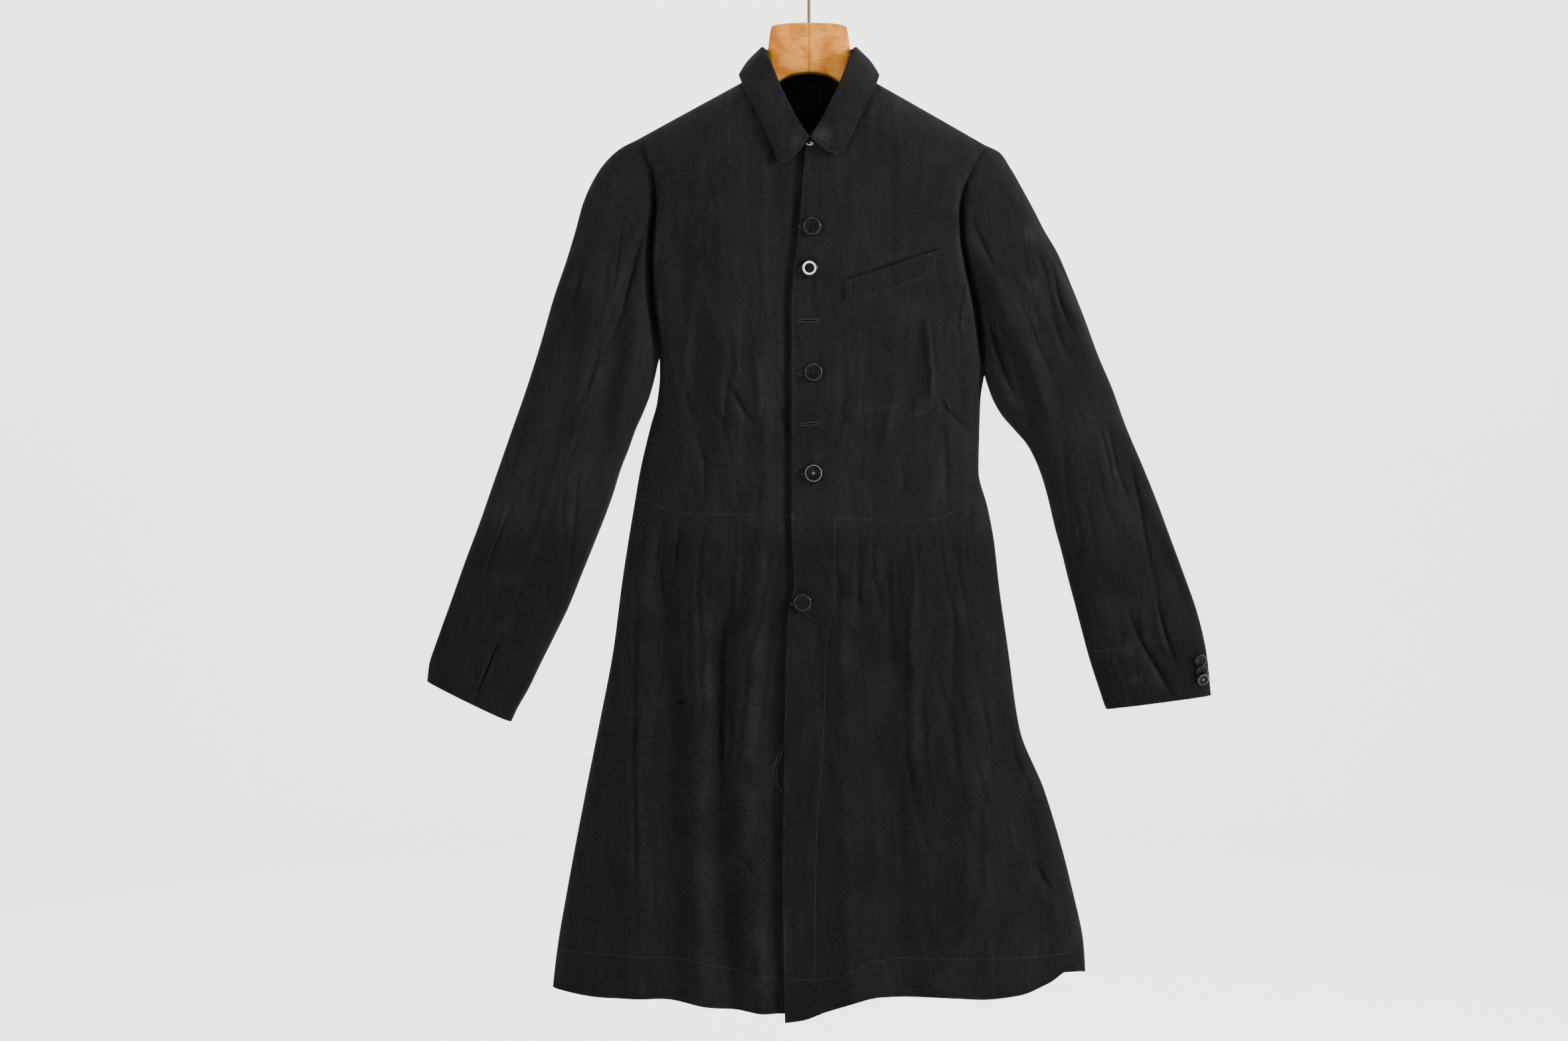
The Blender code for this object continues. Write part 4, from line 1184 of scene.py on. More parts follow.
RIGHT_LINES = SideLines(
    side=Side.RIGHT,
    armhole=(
        (-192, -208), (-180, -232), (-172, -254), (-170, -280), (-172.5, -303), (-175.5, -335), (-174, -385),
        (-166, -447),
    ),
    waist=((12, -628), (-120, -627), (-160, -620), (-193, -604)),
    hem=((12, -1176), (-47, -1174), (-104, -1168), (-173, -1159), (-226, -1160), (-286, -1154)),
    front=((12, -215), (12, -1176)),
    relief=Relief(
        folds=(
            Fold(5, 16, ((-181, -632), (-187, -720), (-189, -900), (-188, -1160))),
            Fold(-5, 15, ((-156, -640), (-160, -694), (-152, -760), (-150, -1100))),
            Fold(4, 14, ((-119, -650), (-123, -706), (-119, -780), (-116, -1160))),
            Fold(-8, 16, ((-88, -720), (-96, -783), (-97, -940), (-80, -1165))),
            Fold(5, 15, ((-40, -640), (-51, -722), (-64, -790), (-66, -960), (-50, -1170))),
            Fold(-5, 18, ((-30, -660), (-32, -900), (-26, -1170))),
            Fold(-4, 16, ((-150, -300), (-128, -420), (-120, -560))),
            Fold(3, 16, ((-95, -260), (-86, -420), (-84, -600))),
        ),
        creases=(
            Crease(-3.4, 5.0, ((984, 250), (984, 336), (981, 400), (983, 470), (992, 532), (1000, 600))),
            Crease(-1.6, 5.0, ((957, 209), (975, 239), (986, 268), (987, 320))),
            Crease(-2.4, 3.4, ((1096, 572), (1112, 602), (1134, 640))),
            Crease(-1.8, 5.0, ((1102, 499), (1105, 553), (1097, 585), (1092, 661))),
            Crease(-1.8, 3.4, ((1032, 585), (1045, 633))),
            Crease(-2.0, 3.4, ((1051, 661), (1064, 696), (1062, 755))),
            Crease(-1.6, 3.0, ((1172, 560), (1188, 600))),
            Crease(-1.6, 3.0, ((1174, 612), (1190, 652))),
            Crease(-2.4, 5.0, ((1000, 470), (1004, 540), (1016, 610))),
            Crease(2.0, 10.0, ((1133, 472), (1163, 755))),
            Crease(1.6, 8.0, ((1052, 420), (1040, 500), (1030, 600))),
            Crease(-2.2, 4.0, ((1002, 790), (996, 866), (1008, 935))),
            Crease(-2.0, 3.4, ((1024, 783), (1019, 880))),
            Crease(-2.2, 3.6, ((1057, 795), (1052, 883), (1057, 975))),
            Crease(-2.4, 3.0, ((1099, 905), (1089, 988), (1088, 1215))),
            Crease(-2.2, 4.0, ((1165, 794), (1149, 905), (1132, 985))),
            Crease(-1.4, 4.0, ((1102, 1262), (1128, 1300), (1152, 1336))),
            Crease(-1.8, 3.0, ((962, 800), (958, 1100), (962, 1500))),
            Crease(1.2, 5.0, ((1036, 800), (1030, 960), (1034, 1080))),
            Crease(1.2, 5.0, ((1076, 830), (1068, 1000), (1070, 1190))),
            *scattered(201, 16, (1170, 985), (782, 800), (50, 260), -0.12),
            *scattered(202, 12, (1165, 970), (860, 1050), (90, 330), -0.14),
            *scattered(203, 12, (1160, 985), (1150, 1330), (50, 190), -0.12, (-1.1, 0.8)),
            *scattered(204, 14, (1180, 1010), (560, 690), (35, 110), 0.1, (-1.2, 0.6), 0.2),
            *scattered(205, 8, (1150, 1010), (300, 520), (60, 160), 0.1, (-0.7, 0.5), 0.12),
        ),
        seed=11,
    ),
)
LEFT_LINES = SideLines(
    side=Side.LEFT,
    armhole=(
        (197, -214), (182, -242), (173, -262), (168, -288), (169, -315), (175, -351), (186, -395),
        (196, -468),
    ),
    waist=((-19.5, -630), (130, -632), (170, -618), (193.5, -598)),
    hem=(
        (-27, -1184), (-6, -1181), (18, -1172), (83, -1156), (140, -1156), (193, -1160), (230, -1157),
        (265, -1146), (290, -1132), (308.5, -1137),
    ),
    front=(
        (-3, -215), (-5.5, -233), (-10, -299), (-16, -350), (-19.5, -402), (-19.5, -637), (-17, -704),
        (-23, -734), (-27.5, -881), (-29, -1020), (-27, -1184),
    ),
    relief=Relief(
        folds=(
            Fold(-5, 18, ((212, -810), (222, -890), (240, -960), (262, -1110))),
            Fold(5, 20, ((190, -760), (182, -950), (182, -1040), (150, -1140))),
            Fold(-4, 18, ((95, -700), (92, -900), (104, -1150))),
            Fold(4, 18, ((40, -720), (38, -900), (48, -1160))),
            Fold(3, 12, ((131, -400), (135, -470), (128, -512))),
            Fold(-4, 16, ((150, -440), (168, -520), (186, -556))),
            Fold(-3, 16, ((60, -420), (66, -520), (62, -610))),
        ),
        creases=(
            Crease(-3.4, 5.0, ((1450, 270), (1447, 330), (1456, 400), (1470, 470), (1484, 560), (1490, 620))),
            Crease(-1.4, 5.0, ((1486, 216), (1464, 254), (1454, 279), (1447, 320))),
            Crease(-1.6, 3.0, ((1206, 383), (1223, 370), (1244, 352), (1268, 333))),
            Crease(-1.3, 1.5, ((1262, 428), (1271, 425), (1340, 402), (1416, 375.5))),
            Crease(-0.7, 1.1, ((1280.5, 424), (1281.5, 456))),
            Crease(-0.7, 1.1, ((1400, 380), (1399, 412))),
            Crease(-0.6, 1.1, ((1409, 378), (1407, 410))),
            Crease(1.0, 3.0, ((1273, 460), (1340, 437), (1414, 412))),
            Crease(-1.0, 3.0, ((1223, 428), (1228, 476))),
            Crease(2.4, 3.6, ((1392, 470), (1397, 521), (1402, 569), (1403, 596), (1394, 618), (1376, 625))),
            Crease(-1.6, 3.0, ((1399, 478), (1405, 530), (1410, 580))),
            Crease(-2.4, 3.4, ((1410, 592), (1424, 617), (1446, 636), (1460, 650))),
            Crease(-1.8, 3.4, ((1453, 425), (1444, 470), (1441, 500))),
            Crease(-2.0, 5.0, ((1414, 633), (1424, 674), (1426, 770))),
            Crease(-1.2, 5.0, ((1265, 546), (1271, 600), (1262, 660))),
            Crease(0.5, 1.1, ((1293, 529), (1304, 540), (1293, 551), (1282, 540), (1293, 529))),
            Crease(0.5, 1.1, ((1325, 675), (1338, 688), (1325, 701), (1312, 688), (1325, 675))),
            Crease(1.4, 7.0, ((1261, 610), (1287, 623), (1350, 612))),
            Crease(1.4, 8.0, ((1352, 560), (1345, 620), (1325, 680))),
            Crease(-1.8, 6.0, ((1240, 803), (1260, 868), (1263, 932))),
            Crease(-2.4, 4.0, ((1514, 1030), (1531, 1143), (1560, 1210))),
            Crease(-1.6, 4.0, ((1546, 1285), (1590, 1350))),
            Crease(-1.8, 7.0, ((1497, 1132), (1473, 1226), (1475, 1337), (1431, 1420))),
            Crease(1.6, 7.0, ((1380, 800), (1372, 960), (1380, 1180))),
            Crease(-1.6, 6.0, ((1432, 800), (1436, 960), (1428, 1100))),
            *scattered(211, 18, (1215, 1460), (785, 800), (40, 220), 0.16),
            *scattered(212, 12, (1215, 1480), (860, 1080), (90, 300), 0.22),
            *scattered(213, 14, (1220, 1560), (1150, 1340), (50, 190), 0.2, (-1.1, 0.8)),
            *scattered(214, 12, (1250, 1440), (640, 720), (30, 90), -0.1, (-1.0, 0.5), 0.2),
            *scattered(215, 8, (1260, 1430), (430, 600), (40, 120), 0.0, (-0.6, 0.5), 0.15),
        ),
        seed=23,
    ),
)
BACK_RELIEF = Relief(
    folds=(
        Fold(6, 22, ((-150, -640), (-168, -900), (-180, -1150))),
        Fold(-6, 20, ((-92, -660), (-104, -900), (-112, -1150))),
        Fold(7, 22, ((-30, -640), (-36, -900), (-42, -1150))),
        Fold(-7, 22, ((28, -650), (34, -900), (38, -1150))),
        Fold(6, 20, ((92, -640), (108, -900), (120, -1150))),
        Fold(-6, 22, ((150, -660), (178, -900), (204, -1150))),
        Fold(-4, 20, ((-120, -300), (-108, -440), (-112, -600))),
        Fold(-4, 20, ((120, -300), (108, -440), (110, -600))),
    ),
    rumple=0.8,
    crumple=0.3,
    seed=37,
)
SLEEVES = (
    SleeveForm(
        side=Side.RIGHT,
        stations=(
            Station(-192, -208, -166, -447, 36, 21), Station(-210, -217.5, -169, -456, 34, 22),
            Station(-226.5, -232.5, -173, -474, 32, 22), Station(-239.5, -251.5, -179, -495, 30, 22),
            Station(-251.5, -278, -186.5, -514, 28, 22), Station(-261, -312, -194.5, -532, 27, 22),
            Station(-270.5, -343, -202, -553, 26, 22), Station(-284.5, -384, -211, -576, 26, 22),
            Station(-298.5, -433, -219, -602, 26, 22), Station(-314.5, -484, -228, -627, 26, 22),
            Station(-333, -537, -239.5, -656, 25, 22), Station(-350.5, -587, -254.5, -693, 25, 22),
            Station(-367.5, -636, -269, -729, 24, 21), Station(-384, -680, -284, -760, 23, 20),
            Station(-399.5, -724, -301, -794, 22, 19), Station(-412.5, -760, -314, -821, 21, 18),
            Station(-424, -795, -326.5, -843, 20, 17), Station(-426, -812.5, -333, -857, 19, 16),
        ),
        fore_seam=4,
        drift=0.15,
        folds=(
            SleeveFold(4, 0.7, 2.0, 1.5, 4.0, 9.0),
            SleeveFold(-5, 0.7, 4.6, 1.0, 5.6, 9.0),
            SleeveFold(5, 0.8, 6.4, 1.0, 6.6, 6.5),
            SleeveFold(-4, 0.8, 3.0, 5.0, 3.6, 14.0),
        ),
        relief=Relief(
            creases=(
                Crease(-4.0, 5.0, ((981, 350), (977, 393), (978, 450), (984, 514), (990, 560))),
                Crease(-2.6, 4.0, ((984, 318), (961, 379), (952, 414), (934, 479), (912, 530))),
                Crease(-2.2, 4.0, ((904, 521), (886, 586), (869, 620))),
                Crease(2.0, 6.0, ((968, 330), (940, 400), (915, 470), (890, 540))),
                Crease(1.3, 2.4, ((857, 661), (829, 736), (801, 827), (779, 872), (758, 942))),
                Crease(-3.2, 2.4, ((753, 960), (733, 1010), (716, 1047))),
                Crease(-1.4, 3.0, ((757, 960), (747, 996), (743, 1020), (726, 1039))),
                *scattered(221, 9, (955, 850), (300, 420), (80, 220), -0.9),
                *scattered(222, 9, (880, 740), (600, 760), (70, 220), -0.42),
                *scattered(223, 7, (790, 690), (860, 930), (50, 110), -0.45, (-1.2, 0.6)),
            ),
            rumple=0.6,
            seed=53,
        ),
    ),
    SleeveForm(
        side=Side.LEFT,
        stations=(
            Station(197, -214, 196, -468, 36, 21), Station(212.5, -222, 200, -481.5, 34, 22),
            Station(225.5, -241, 206, -497.5, 32, 22), Station(239, -265, 216, -515, 30, 22),
            Station(250, -285.5, 229.5, -530.5, 28, 22), Station(262.5, -310, 244, -547.5, 27, 22),
            Station(276.5, -334, 253, -564, 26, 22), Station(291.5, -369.5, 261, -584.5, 26, 22),
            Station(306, -406, 268.5, -611, 26, 22), Station(320.5, -446, 275, -639, 26, 22),
            Station(337.5, -486, 283, -668.5, 25, 22), Station(352.5, -527.5, 291, -701, 25, 22),
            Station(371, -571, 298.5, -729, 24, 21), Station(388, -613, 306, -758, 23, 20),
            Station(403, -653.5, 314, -787.5, 22, 19), Station(419.5, -698, 321.5, -811, 21, 18),
            Station(433, -737, 327.5, -829, 20, 17), Station(443, -781, 331, -839.5, 19, 16),
            Station(448, -827.5, 333, -843.5, 18, 15),
        ),
        fore_seam=7,
        drift=-0.2,
        folds=(
            SleeveFold(5, 0.7, 4.5, 1.0, 6.6, 7.0),
            SleeveFold(-5, 0.7, 5.8, 1.0, 7.6, 7.0),
            SleeveFold(4, 0.8, 2.2, 2.0, 3.2, 9.0),
            SleeveFold(-4, 0.8, 4.0, 10.0, 3.0, 16.0),
        ),
        relief=Relief(
            creases=(
                Crease(-4.0, 5.0, ((1448, 330), (1462, 390), (1472, 450), (1477, 521), (1486, 590))),
                Crease(-2.4, 3.6, ((1459, 308), (1467, 344), (1479, 367), (1500, 414))),
                Crease(-2.0, 3.0, ((1582, 395), (1594, 443), (1605, 481), (1619, 510))),
                Crease(-1.6, 4.0, ((1541, 473), (1564, 525), (1588, 578))),
                Crease(-2.2, 3.4, ((1476, 445), (1490, 480), (1509, 540), (1528, 600))),
                Crease(1.8, 3.0, ((1484, 440), (1499, 480), (1518, 540), (1538, 608))),
                Crease(-2.0, 3.6, ((1700, 690), (1718, 764), (1728, 828), (1740, 895))),
                Crease(-2.0, 3.0, ((1738, 870), (1746, 920), (1758, 960), (1774, 1004))),
                Crease(-3.0, 4.0, ((1698, 917), (1719, 965), (1751, 1018), (1770, 1056))),
                Crease(-1.6, 4.0, ((1664, 1030), (1690, 1068))),
                Crease(-1.2, 3.0, ((1498, 396), (1514, 424))),
                *scattered(231, 9, (1490, 1590), (330, 460), (70, 200), 0.55),
                *scattered(232, 9, (1550, 1680), (620, 760), (70, 200), 0.35),
                *scattered(233, 7, (1640, 1760), (860, 940), (50, 110), 0.3, (-1.2, 0.6)),
            ),
            rumple=0.6,
            seed=71,
        ),
    ),
)


def ring_faces(rings: Sequence[Sequence[int]]) -> list[tuple[int, ...]]:
    """Faces between rings of points, each ring joined to the next.

    Args:
        rings: the numbers of each ring's points, all one number where a ring shrinks to a point.

    Returns:
        The faces, without repeated corners.
    """
    faces = []
    for ring, following in zip(rings, rings[1:]):
        for k in range(len(ring)):
            n = (k + 1) % len(ring)
            faces.append(tuple(dict.fromkeys((ring[k], following[k], following[n], ring[n]))))
    return faces


def joined(parts: Iterable[tuple[Array, Sequence[tuple[int, ...]]]]) -> tuple[Array, list[tuple[int, ...]]]:
    """Several meshes as one.

    Args:
        parts: the points and faces of each.

    Returns:
        Points and faces.
    """
    points, faces = [], []
    for part, part_faces in parts:
        start = sum(len(done) for done in points)
        points.append(part)
        faces += [tuple(i + start for i in face) for face in part_faces]
    return np.concatenate(points), faces


def tube_mesh(path: Array, radius: Array, sides: int) -> tuple[Array, list[tuple[int, ...]]]:
    """Points and faces of a capped tube along a path.

    Args:
        path: its middle line.
        radius: at each point of the line.
        sides: faces round it.

    Returns:
        Points and faces.
    """
    path = np.asarray(path, float)
    radius = np.broadcast_to(np.asarray(radius, float), len(path))
    tangents = np.gradient(path, axis=0)
    tangents /= np.linalg.norm(tangents, axis=-1, keepdims=True)
    side = np.cross(tangents[0], (0.3, 1.0, 0.1))
    angles = np.linspace(0, 2 * math.pi, sides, endpoint=False)
    points = []
    for centre, tangent, size in zip(path, tangents, radius):
        side = side - tangent * np.dot(side, tangent)
        side /= np.linalg.norm(side)
        other = np.cross(tangent, side)
        points.append(centre + size * (np.cos(angles)[:, None] * side + np.sin(angles)[:, None] * other))
    index = np.arange(len(path) * sides).reshape(len(path), sides)
    faces = [tuple(index[0][::-1]), tuple(index[-1])]
    faces += [(a, d, c, b) for a, b, c, d in ring_faces(index)]
    return np.concatenate(points), faces


def turned_mesh(profile: Sequence[tuple[float, float]], sides: int) -> tuple[Array, list[tuple[int, ...]]]:
    """Points and faces of a solid turned about local Z.

    Args:
        profile: (radius, height) from the middle of its top to the middle of its bottom.
        sides: faces round it.

    Returns:
        Points and faces.
    """
    points: list[tuple[float, float, float]] = []
    rings = []
    for radius, height in profile:
        if radius == 0:
            rings.append([len(points)] * sides)
            points.append((0.0, 0.0, height))
            continue
        rings.append([len(points) + k for k in range(sides)])
        for k in range(sides):
            angle = 2 * math.pi * k / sides
            points.append((radius * math.cos(angle), radius * math.sin(angle), height))
    return np.array(points), ring_faces(rings)


def tubes_object(name: str, paths: Sequence[Array], radius: float, sides: int = 8) -> bpy.types.Object:
    """Several smooth tubes along paths in millimetres, as one object.

    Args:
        name: the object's name.
        paths: a few points along each.
        radius: of every tube.
        sides: faces round it.

    Returns:
        The object.
    """
    tubes = (tube_mesh(smoothed(path, 5 * len(path)), radius, sides) for path in paths)
    return solid_object(name, *joined(tubes))


def face_outwards(made: bpy.types.Object) -> None:
    """Turns a closed mesh's faces outwards, after merging its doubles.

    Args:
        made: the mesh's object.
    """
    bm = bmesh.new()
    bm.from_mesh(made.data)
    bmesh.ops.remove_doubles(bm, verts=bm.verts[:], dist=1e-6)
    bmesh.ops.recalc_face_normals(bm, faces=bm.faces[:])
    bm.to_mesh(made.data)
    bm.free()


def solid_object(
    name: str, points: Array, faces: Sequence[Sequence[int]], sharp: float = 40.0
) -> bpy.types.Object:
    """A closed mesh, with its faces outwards.

    Args:
        name: the object's name.
        points: in millimetres.
        faces: the points' numbers.
        sharp: angle in degrees over which an edge is sharp.

    Returns:
        The object.
    """
    made = mesh_object(name, points * MM, faces, sharp)
    face_outwards(made)
    return made


def drill_out(made: bpy.types.Object, drill: bpy.types.Object) -> None:
    """Takes a tool's shape out of an object, and removes the tool.

    Args:
        made: the object.
        drill: the tool.
    """
    cut = made.modifiers.new("cut", "BOOLEAN")
    cut.operation, cut.solver, cut.object = "DIFFERENCE", "EXACT", drill
    bake_modifiers(made)
    bpy.data.objects.remove(drill, do_unlink=True)


def smoothed(points: Sequence[Sequence[float]], count: int) -> Array:
    """A smooth path of evenly spaced points through a few given ones.

    Args:
        points: the given ones.
        count: how many to make.

    Returns:
        The path.
    """
    points = np.asarray(points, float)
    steps = np.linalg.norm(np.diff(points, axis=0), axis=-1)
    keys = np.concatenate([[0], np.cumsum(steps)])
    tangents = np.gradient(points, keys, axis=0)
    at = np.linspace(0, keys[-1], count)
    left = np.clip(np.searchsorted(keys, at, side="right") - 1, 0, len(steps) - 1)
    u = ((at - keys[left]) / steps[left])[:, None]
    span = steps[left][:, None]
    start = points[left] * (1 + 2 * u) * (1 - u) ** 2 + tangents[left] * span * u * (1 - u) ** 2
    return start + points[left + 1] * u * u * (3 - 2 * u) + tangents[left + 1] * span * u * u * (u - 1)


def linear(hex_colour: str) -> tuple[float, float, float, float]:
    """An sRGB hex colour as linear RGBA."""
    channels = [int(hex_colour[i : i + 2], 16) / 255 for i in (0, 2, 4)]
    return (*[c / 12.92 if c <= 0.04045 else ((c + 0.055) / 1.055) ** 2.4 for c in channels], 1.0)


Socket = bpy.types.NodeSocket
Setting = float | int | str | bool | tuple | Socket
COLOURS = {"data_type": "RGBA"}
TIMES = {"operation": "MULTIPLY"}


def set_inputs(node: bpy.types.Node, inputs: dict[str, Setting]) -> None:
    """Sets a node's inputs, and links those that are given as sockets.

    Args:
        node: the node.
        inputs: by socket name with underscores for spaces, or "i" and a number.
    """
    for name, value in inputs.items():
        socket = node.inputs[int(name[1:]) if name[1:].isdigit() else name.replace("_", " ")]
        if isinstance(value, Socket):
            node.id_data.links.new(value, socket)
        else:
            socket.default_value = value


def add_node(
    tree: bpy.types.NodeTree, kind: str, out: int | str = 0, settings: dict[str, object] | None = None,
    **inputs: Setting,
) -> Socket:
    """Adds a node with its settings and its inputs.

    Args:
        tree: the node tree.
        kind: the node's type.
        out: the output that is wanted.
        settings: its properties.
        inputs: as set_inputs takes them.

    Returns:
        The output.
    """
    node = tree.nodes.new(kind)
    for name, value in (settings or {}).items():
        setattr(node, name, value)
    set_inputs(node, inputs)
    return node.outputs[out]


class Recipe:
    """A material in the making."""

    def __init__(self, name: str) -> None:
        """Starts the material called name."""
        self.made = bpy.data.materials.new(name)
        self.made.use_nodes = True

    def add(
        self, kind: str, out: int | str = 0, settings: dict[str, object] | None = None, **inputs: Setting
    ) -> Socket:
        """Adds a node to the material, as add_node does."""
        return add_node(self.made.node_tree, kind, out, settings, **inputs)

    def finish(self, **inputs: Setting) -> bpy.types.Material:
        """The material, with its shader's inputs set."""
        set_inputs(self.made.node_tree.nodes["Principled BSDF"], inputs)
        return self.made


def noise_period(size_mm: float) -> float:
    """Scale of a noise or Voronoi texture whose features have one size, on coordinates in metres."""
    return 1 / (size_mm * MM)


def wave_period(size_mm: float) -> float:
    """Scale of a wave texture whose bands repeat at one size, on coordinates in metres."""
    return 2 * math.pi / 20 / (size_mm * MM)


@dataclass(frozen=True)
class DrillFinish:
    """Black cotton drill, a twill woven of fine yarn and piece dyed, much worn.

    The eye gets a matte near-black with a faint diagonal wale, warmer and greyer where it is rubbed
    along seams, edges and the tops of folds. The real wale is under 1 mm, too fine to show, so it is
    drawn at 2.2 mm. The skirt is a shade darker than the bodice.
    """

    deep: str = "0F0E10"
    faded: str = "141314"
    rubbed_and_highlight: str = "3A3735"
    fluff: str = "B9B2AA"
    wale_mm: float = 2.2
    wale_turn: float = 58.0
    yarn_mm: float = 1.2
    slub_mm: float = 2.8
    blotch_mm: float = 55.0
    streak_mm: float = 9.0
    wrinkle_mm: float = 42.0
    wrinkle: float = 0.55
    skirt_z: float = -632.0
    skirt_edge: float = 30.0
    skirt_dark: float = 0.74
    roughness: float = 0.92
    sheen: float = 0.004
    specular: float = 0.04

    def material(self) -> bpy.types.Material:
        """Builds the finish.

        Returns:
            The material.
        """
        drill = Recipe("woven_cotton_drill")
        place = drill.add("ShaderNodeTexCoord", "Object")
        weave = drill.add("ShaderNodeUVMap", settings={"uv_map": "Weave"})
        turned = drill.add("ShaderNodeMapping", Vector=weave, Rotation=(0, 0, math.radians(self.wale_turn)))
        wale = drill.add(
            "ShaderNodeTexWave", "Fac", Vector=turned, Scale=wave_period(self.wale_mm), Distortion=0.6,
            Detail=1.0, Detail_Scale=2.0,
        )
        yarn = drill.add("ShaderNodeTexNoise", Vector=weave, Scale=noise_period(self.yarn_mm), Detail=2.0)
        long_way = drill.add("ShaderNodeMapping", Vector=weave, Scale=(1.0, 0.12, 1.0))
        streak = drill.add(
            "ShaderNodeTexNoise", Vector=long_way, Scale=noise_period(self.streak_mm), Detail=4.0,
            Roughness=0.6,
        )
        blotch = drill.add(
            "ShaderNodeTexNoise", Vector=place, Scale=noise_period(self.blotch_mm), Detail=5.0,
            Roughness=0.62, Distortion=0.4,
        )
        both = drill.add("ShaderNodeMath", settings=TIMES, i0=blotch, i1=streak)
        fading = drill.add("ShaderNodeMapRange", Value=both, From_Min=0.16, From_Max=0.36)
        cloth = drill.add(
            "ShaderNodeMix", 2, COLOURS, i0=fading, i6=linear(self.deep), i7=linear(self.faded),
        )
        wear_and_highlight = drill.add("ShaderNodeAttribute", "Fac", {"attribute_name": "wear_and_highlight"})
        patchy = drill.add("ShaderNodeMapRange", Value=yarn, From_Min=0.25, From_Max=0.75, To_Min=0.45)
        shown = drill.add("ShaderNodeMath", settings=TIMES, i0=wear_and_highlight, i1=patchy)
        worn = drill.add("ShaderNodeMix", 2, COLOURS, i0=shown, i6=cloth, i7=linear(self.rubbed_and_highlight))
        groove = drill.add("ShaderNodeMapRange", Value=wale, To_Min=0.8, To_Max=1.16)
        slub = drill.add(
            "ShaderNodeTexNoise", Vector=weave, Scale=noise_period(self.slub_mm), Detail=3.0, Roughness=0.8,
        )
        speck = drill.add(
            "ShaderNodeMapRange", Value=slub, From_Min=0.3, From_Max=0.7, To_Min=0.6, To_Max=1.45,
        )
        textured = drill.add("ShaderNodeMath", settings=TIMES, i0=groove, i1=speck)
        up = drill.add("ShaderNodeSeparateXYZ", "Z", Vector=place)
        keeping = drill.add(
            "ShaderNodeMapRange", Value=up, From_Min=(self.skirt_z - self.skirt_edge) * MM,
            From_Max=self.skirt_z * MM, To_Min=self.skirt_dark,
        )
        kept = drill.add("ShaderNodeMath", settings=TIMES, i0=textured, i1=keeping)
        dyed = drill.add("ShaderNodeMix", 2, {**COLOURS, "blend_type": "MULTIPLY"}, i0=1.0, i6=worn, i7=kept)
        height = drill.add("ShaderNodeMath", settings={"operation": "MULTIPLY_ADD"}, i0=yarn, i1=0.5, i2=wale)
        drawn = drill.add(
            "ShaderNodeMapping", Vector=place, Scale=(1.0, 0.6, 0.38), Rotation=(0, 0.12, 0),
        )
        wrinkle = drill.add(
            "ShaderNodeTexNoise", Vector=drawn, Scale=noise_period(self.wrinkle_mm), Detail=3.0,
            Roughness=0.55, Distortion=0.9,
        )
        centred = drill.add("ShaderNodeMath", settings={"operation": "SUBTRACT"}, i0=wrinkle, i1=0.5)
        creased = drill.add("ShaderNodeMath", settings={"operation": "ABSOLUTE"}, i0=centred)
        sharp = drill.add(
            "ShaderNodeMapRange", settings={"interpolation_type": "SMOOTHSTEP"}, Value=creased, From_Max=0.11,
        )
        wrinkled = drill.add("ShaderNodeBump", Strength=self.wrinkle, Distance=1.2 * MM, Height=sharp)
        bump = drill.add("ShaderNodeBump", Strength=0.35, Distance=0.25 * MM, Height=height, Normal=wrinkled)
        return drill.finish(
            Base_Color=dyed, Normal=bump, Roughness=self.roughness, Specular_IOR_Level=self.specular,
            Sheen_Weight=self.sheen, Sheen_Roughness=0.45, Sheen_Tint=linear(self.fluff),
        )


@dataclass(frozen=True)
class HornFinish:
    """Black horn, turned and polished: glossy, with a soft clouding along the horn's layers."""

    dark: str = "040404"
    cloudy: str = "0C0B0A"
    # pale: painted highlight, the colour of a ring painted on the button's face that stands for the lamps'
    # reflection in its polished rim.
    pale: str = "E4E2DE"
    layer_mm: float = 3.0
    roughness: float = 0.2
    specular: float = 0.07

    def material(self) -> bpy.types.Material:
        """Builds the finish.

        Returns:
            The material.
        """
        horn = Recipe("polished_black_horn")
        place = horn.add("ShaderNodeTexCoord", "Object")
        cloud = horn.add(
            "ShaderNodeTexNoise", Vector=place, Scale=noise_period(self.layer_mm), Detail=3.0,
            Distortion=1.2,
        )
        share = horn.add("ShaderNodeMapRange", Value=cloud, From_Min=0.5, From_Max=0.85)
        body = horn.add("ShaderNodeMix", 2, COLOURS, i0=share, i6=linear(self.dark), i7=linear(self.cloudy))
        # Painted highlight: where the wear_and_highlight attribute is set, the face is mixed to pale.
        rubbed_and_highlight = horn.add("ShaderNodeAttribute", "Fac", {"attribute_name": "wear_and_highlight"})
        colour = horn.add("ShaderNodeMix", 2, COLOURS, i0=rubbed_and_highlight, i6=body, i7=linear(self.pale))
        rough = horn.add(
            "ShaderNodeMapRange", Value=cloud, From_Min=0.2, From_Max=0.8, To_Min=self.roughness,
            To_Max=self.roughness + 0.15,
        )
        return horn.finish(Base_Color=colour, Roughness=rough, IOR=1.54, Specular_IOR_Level=self.specular)


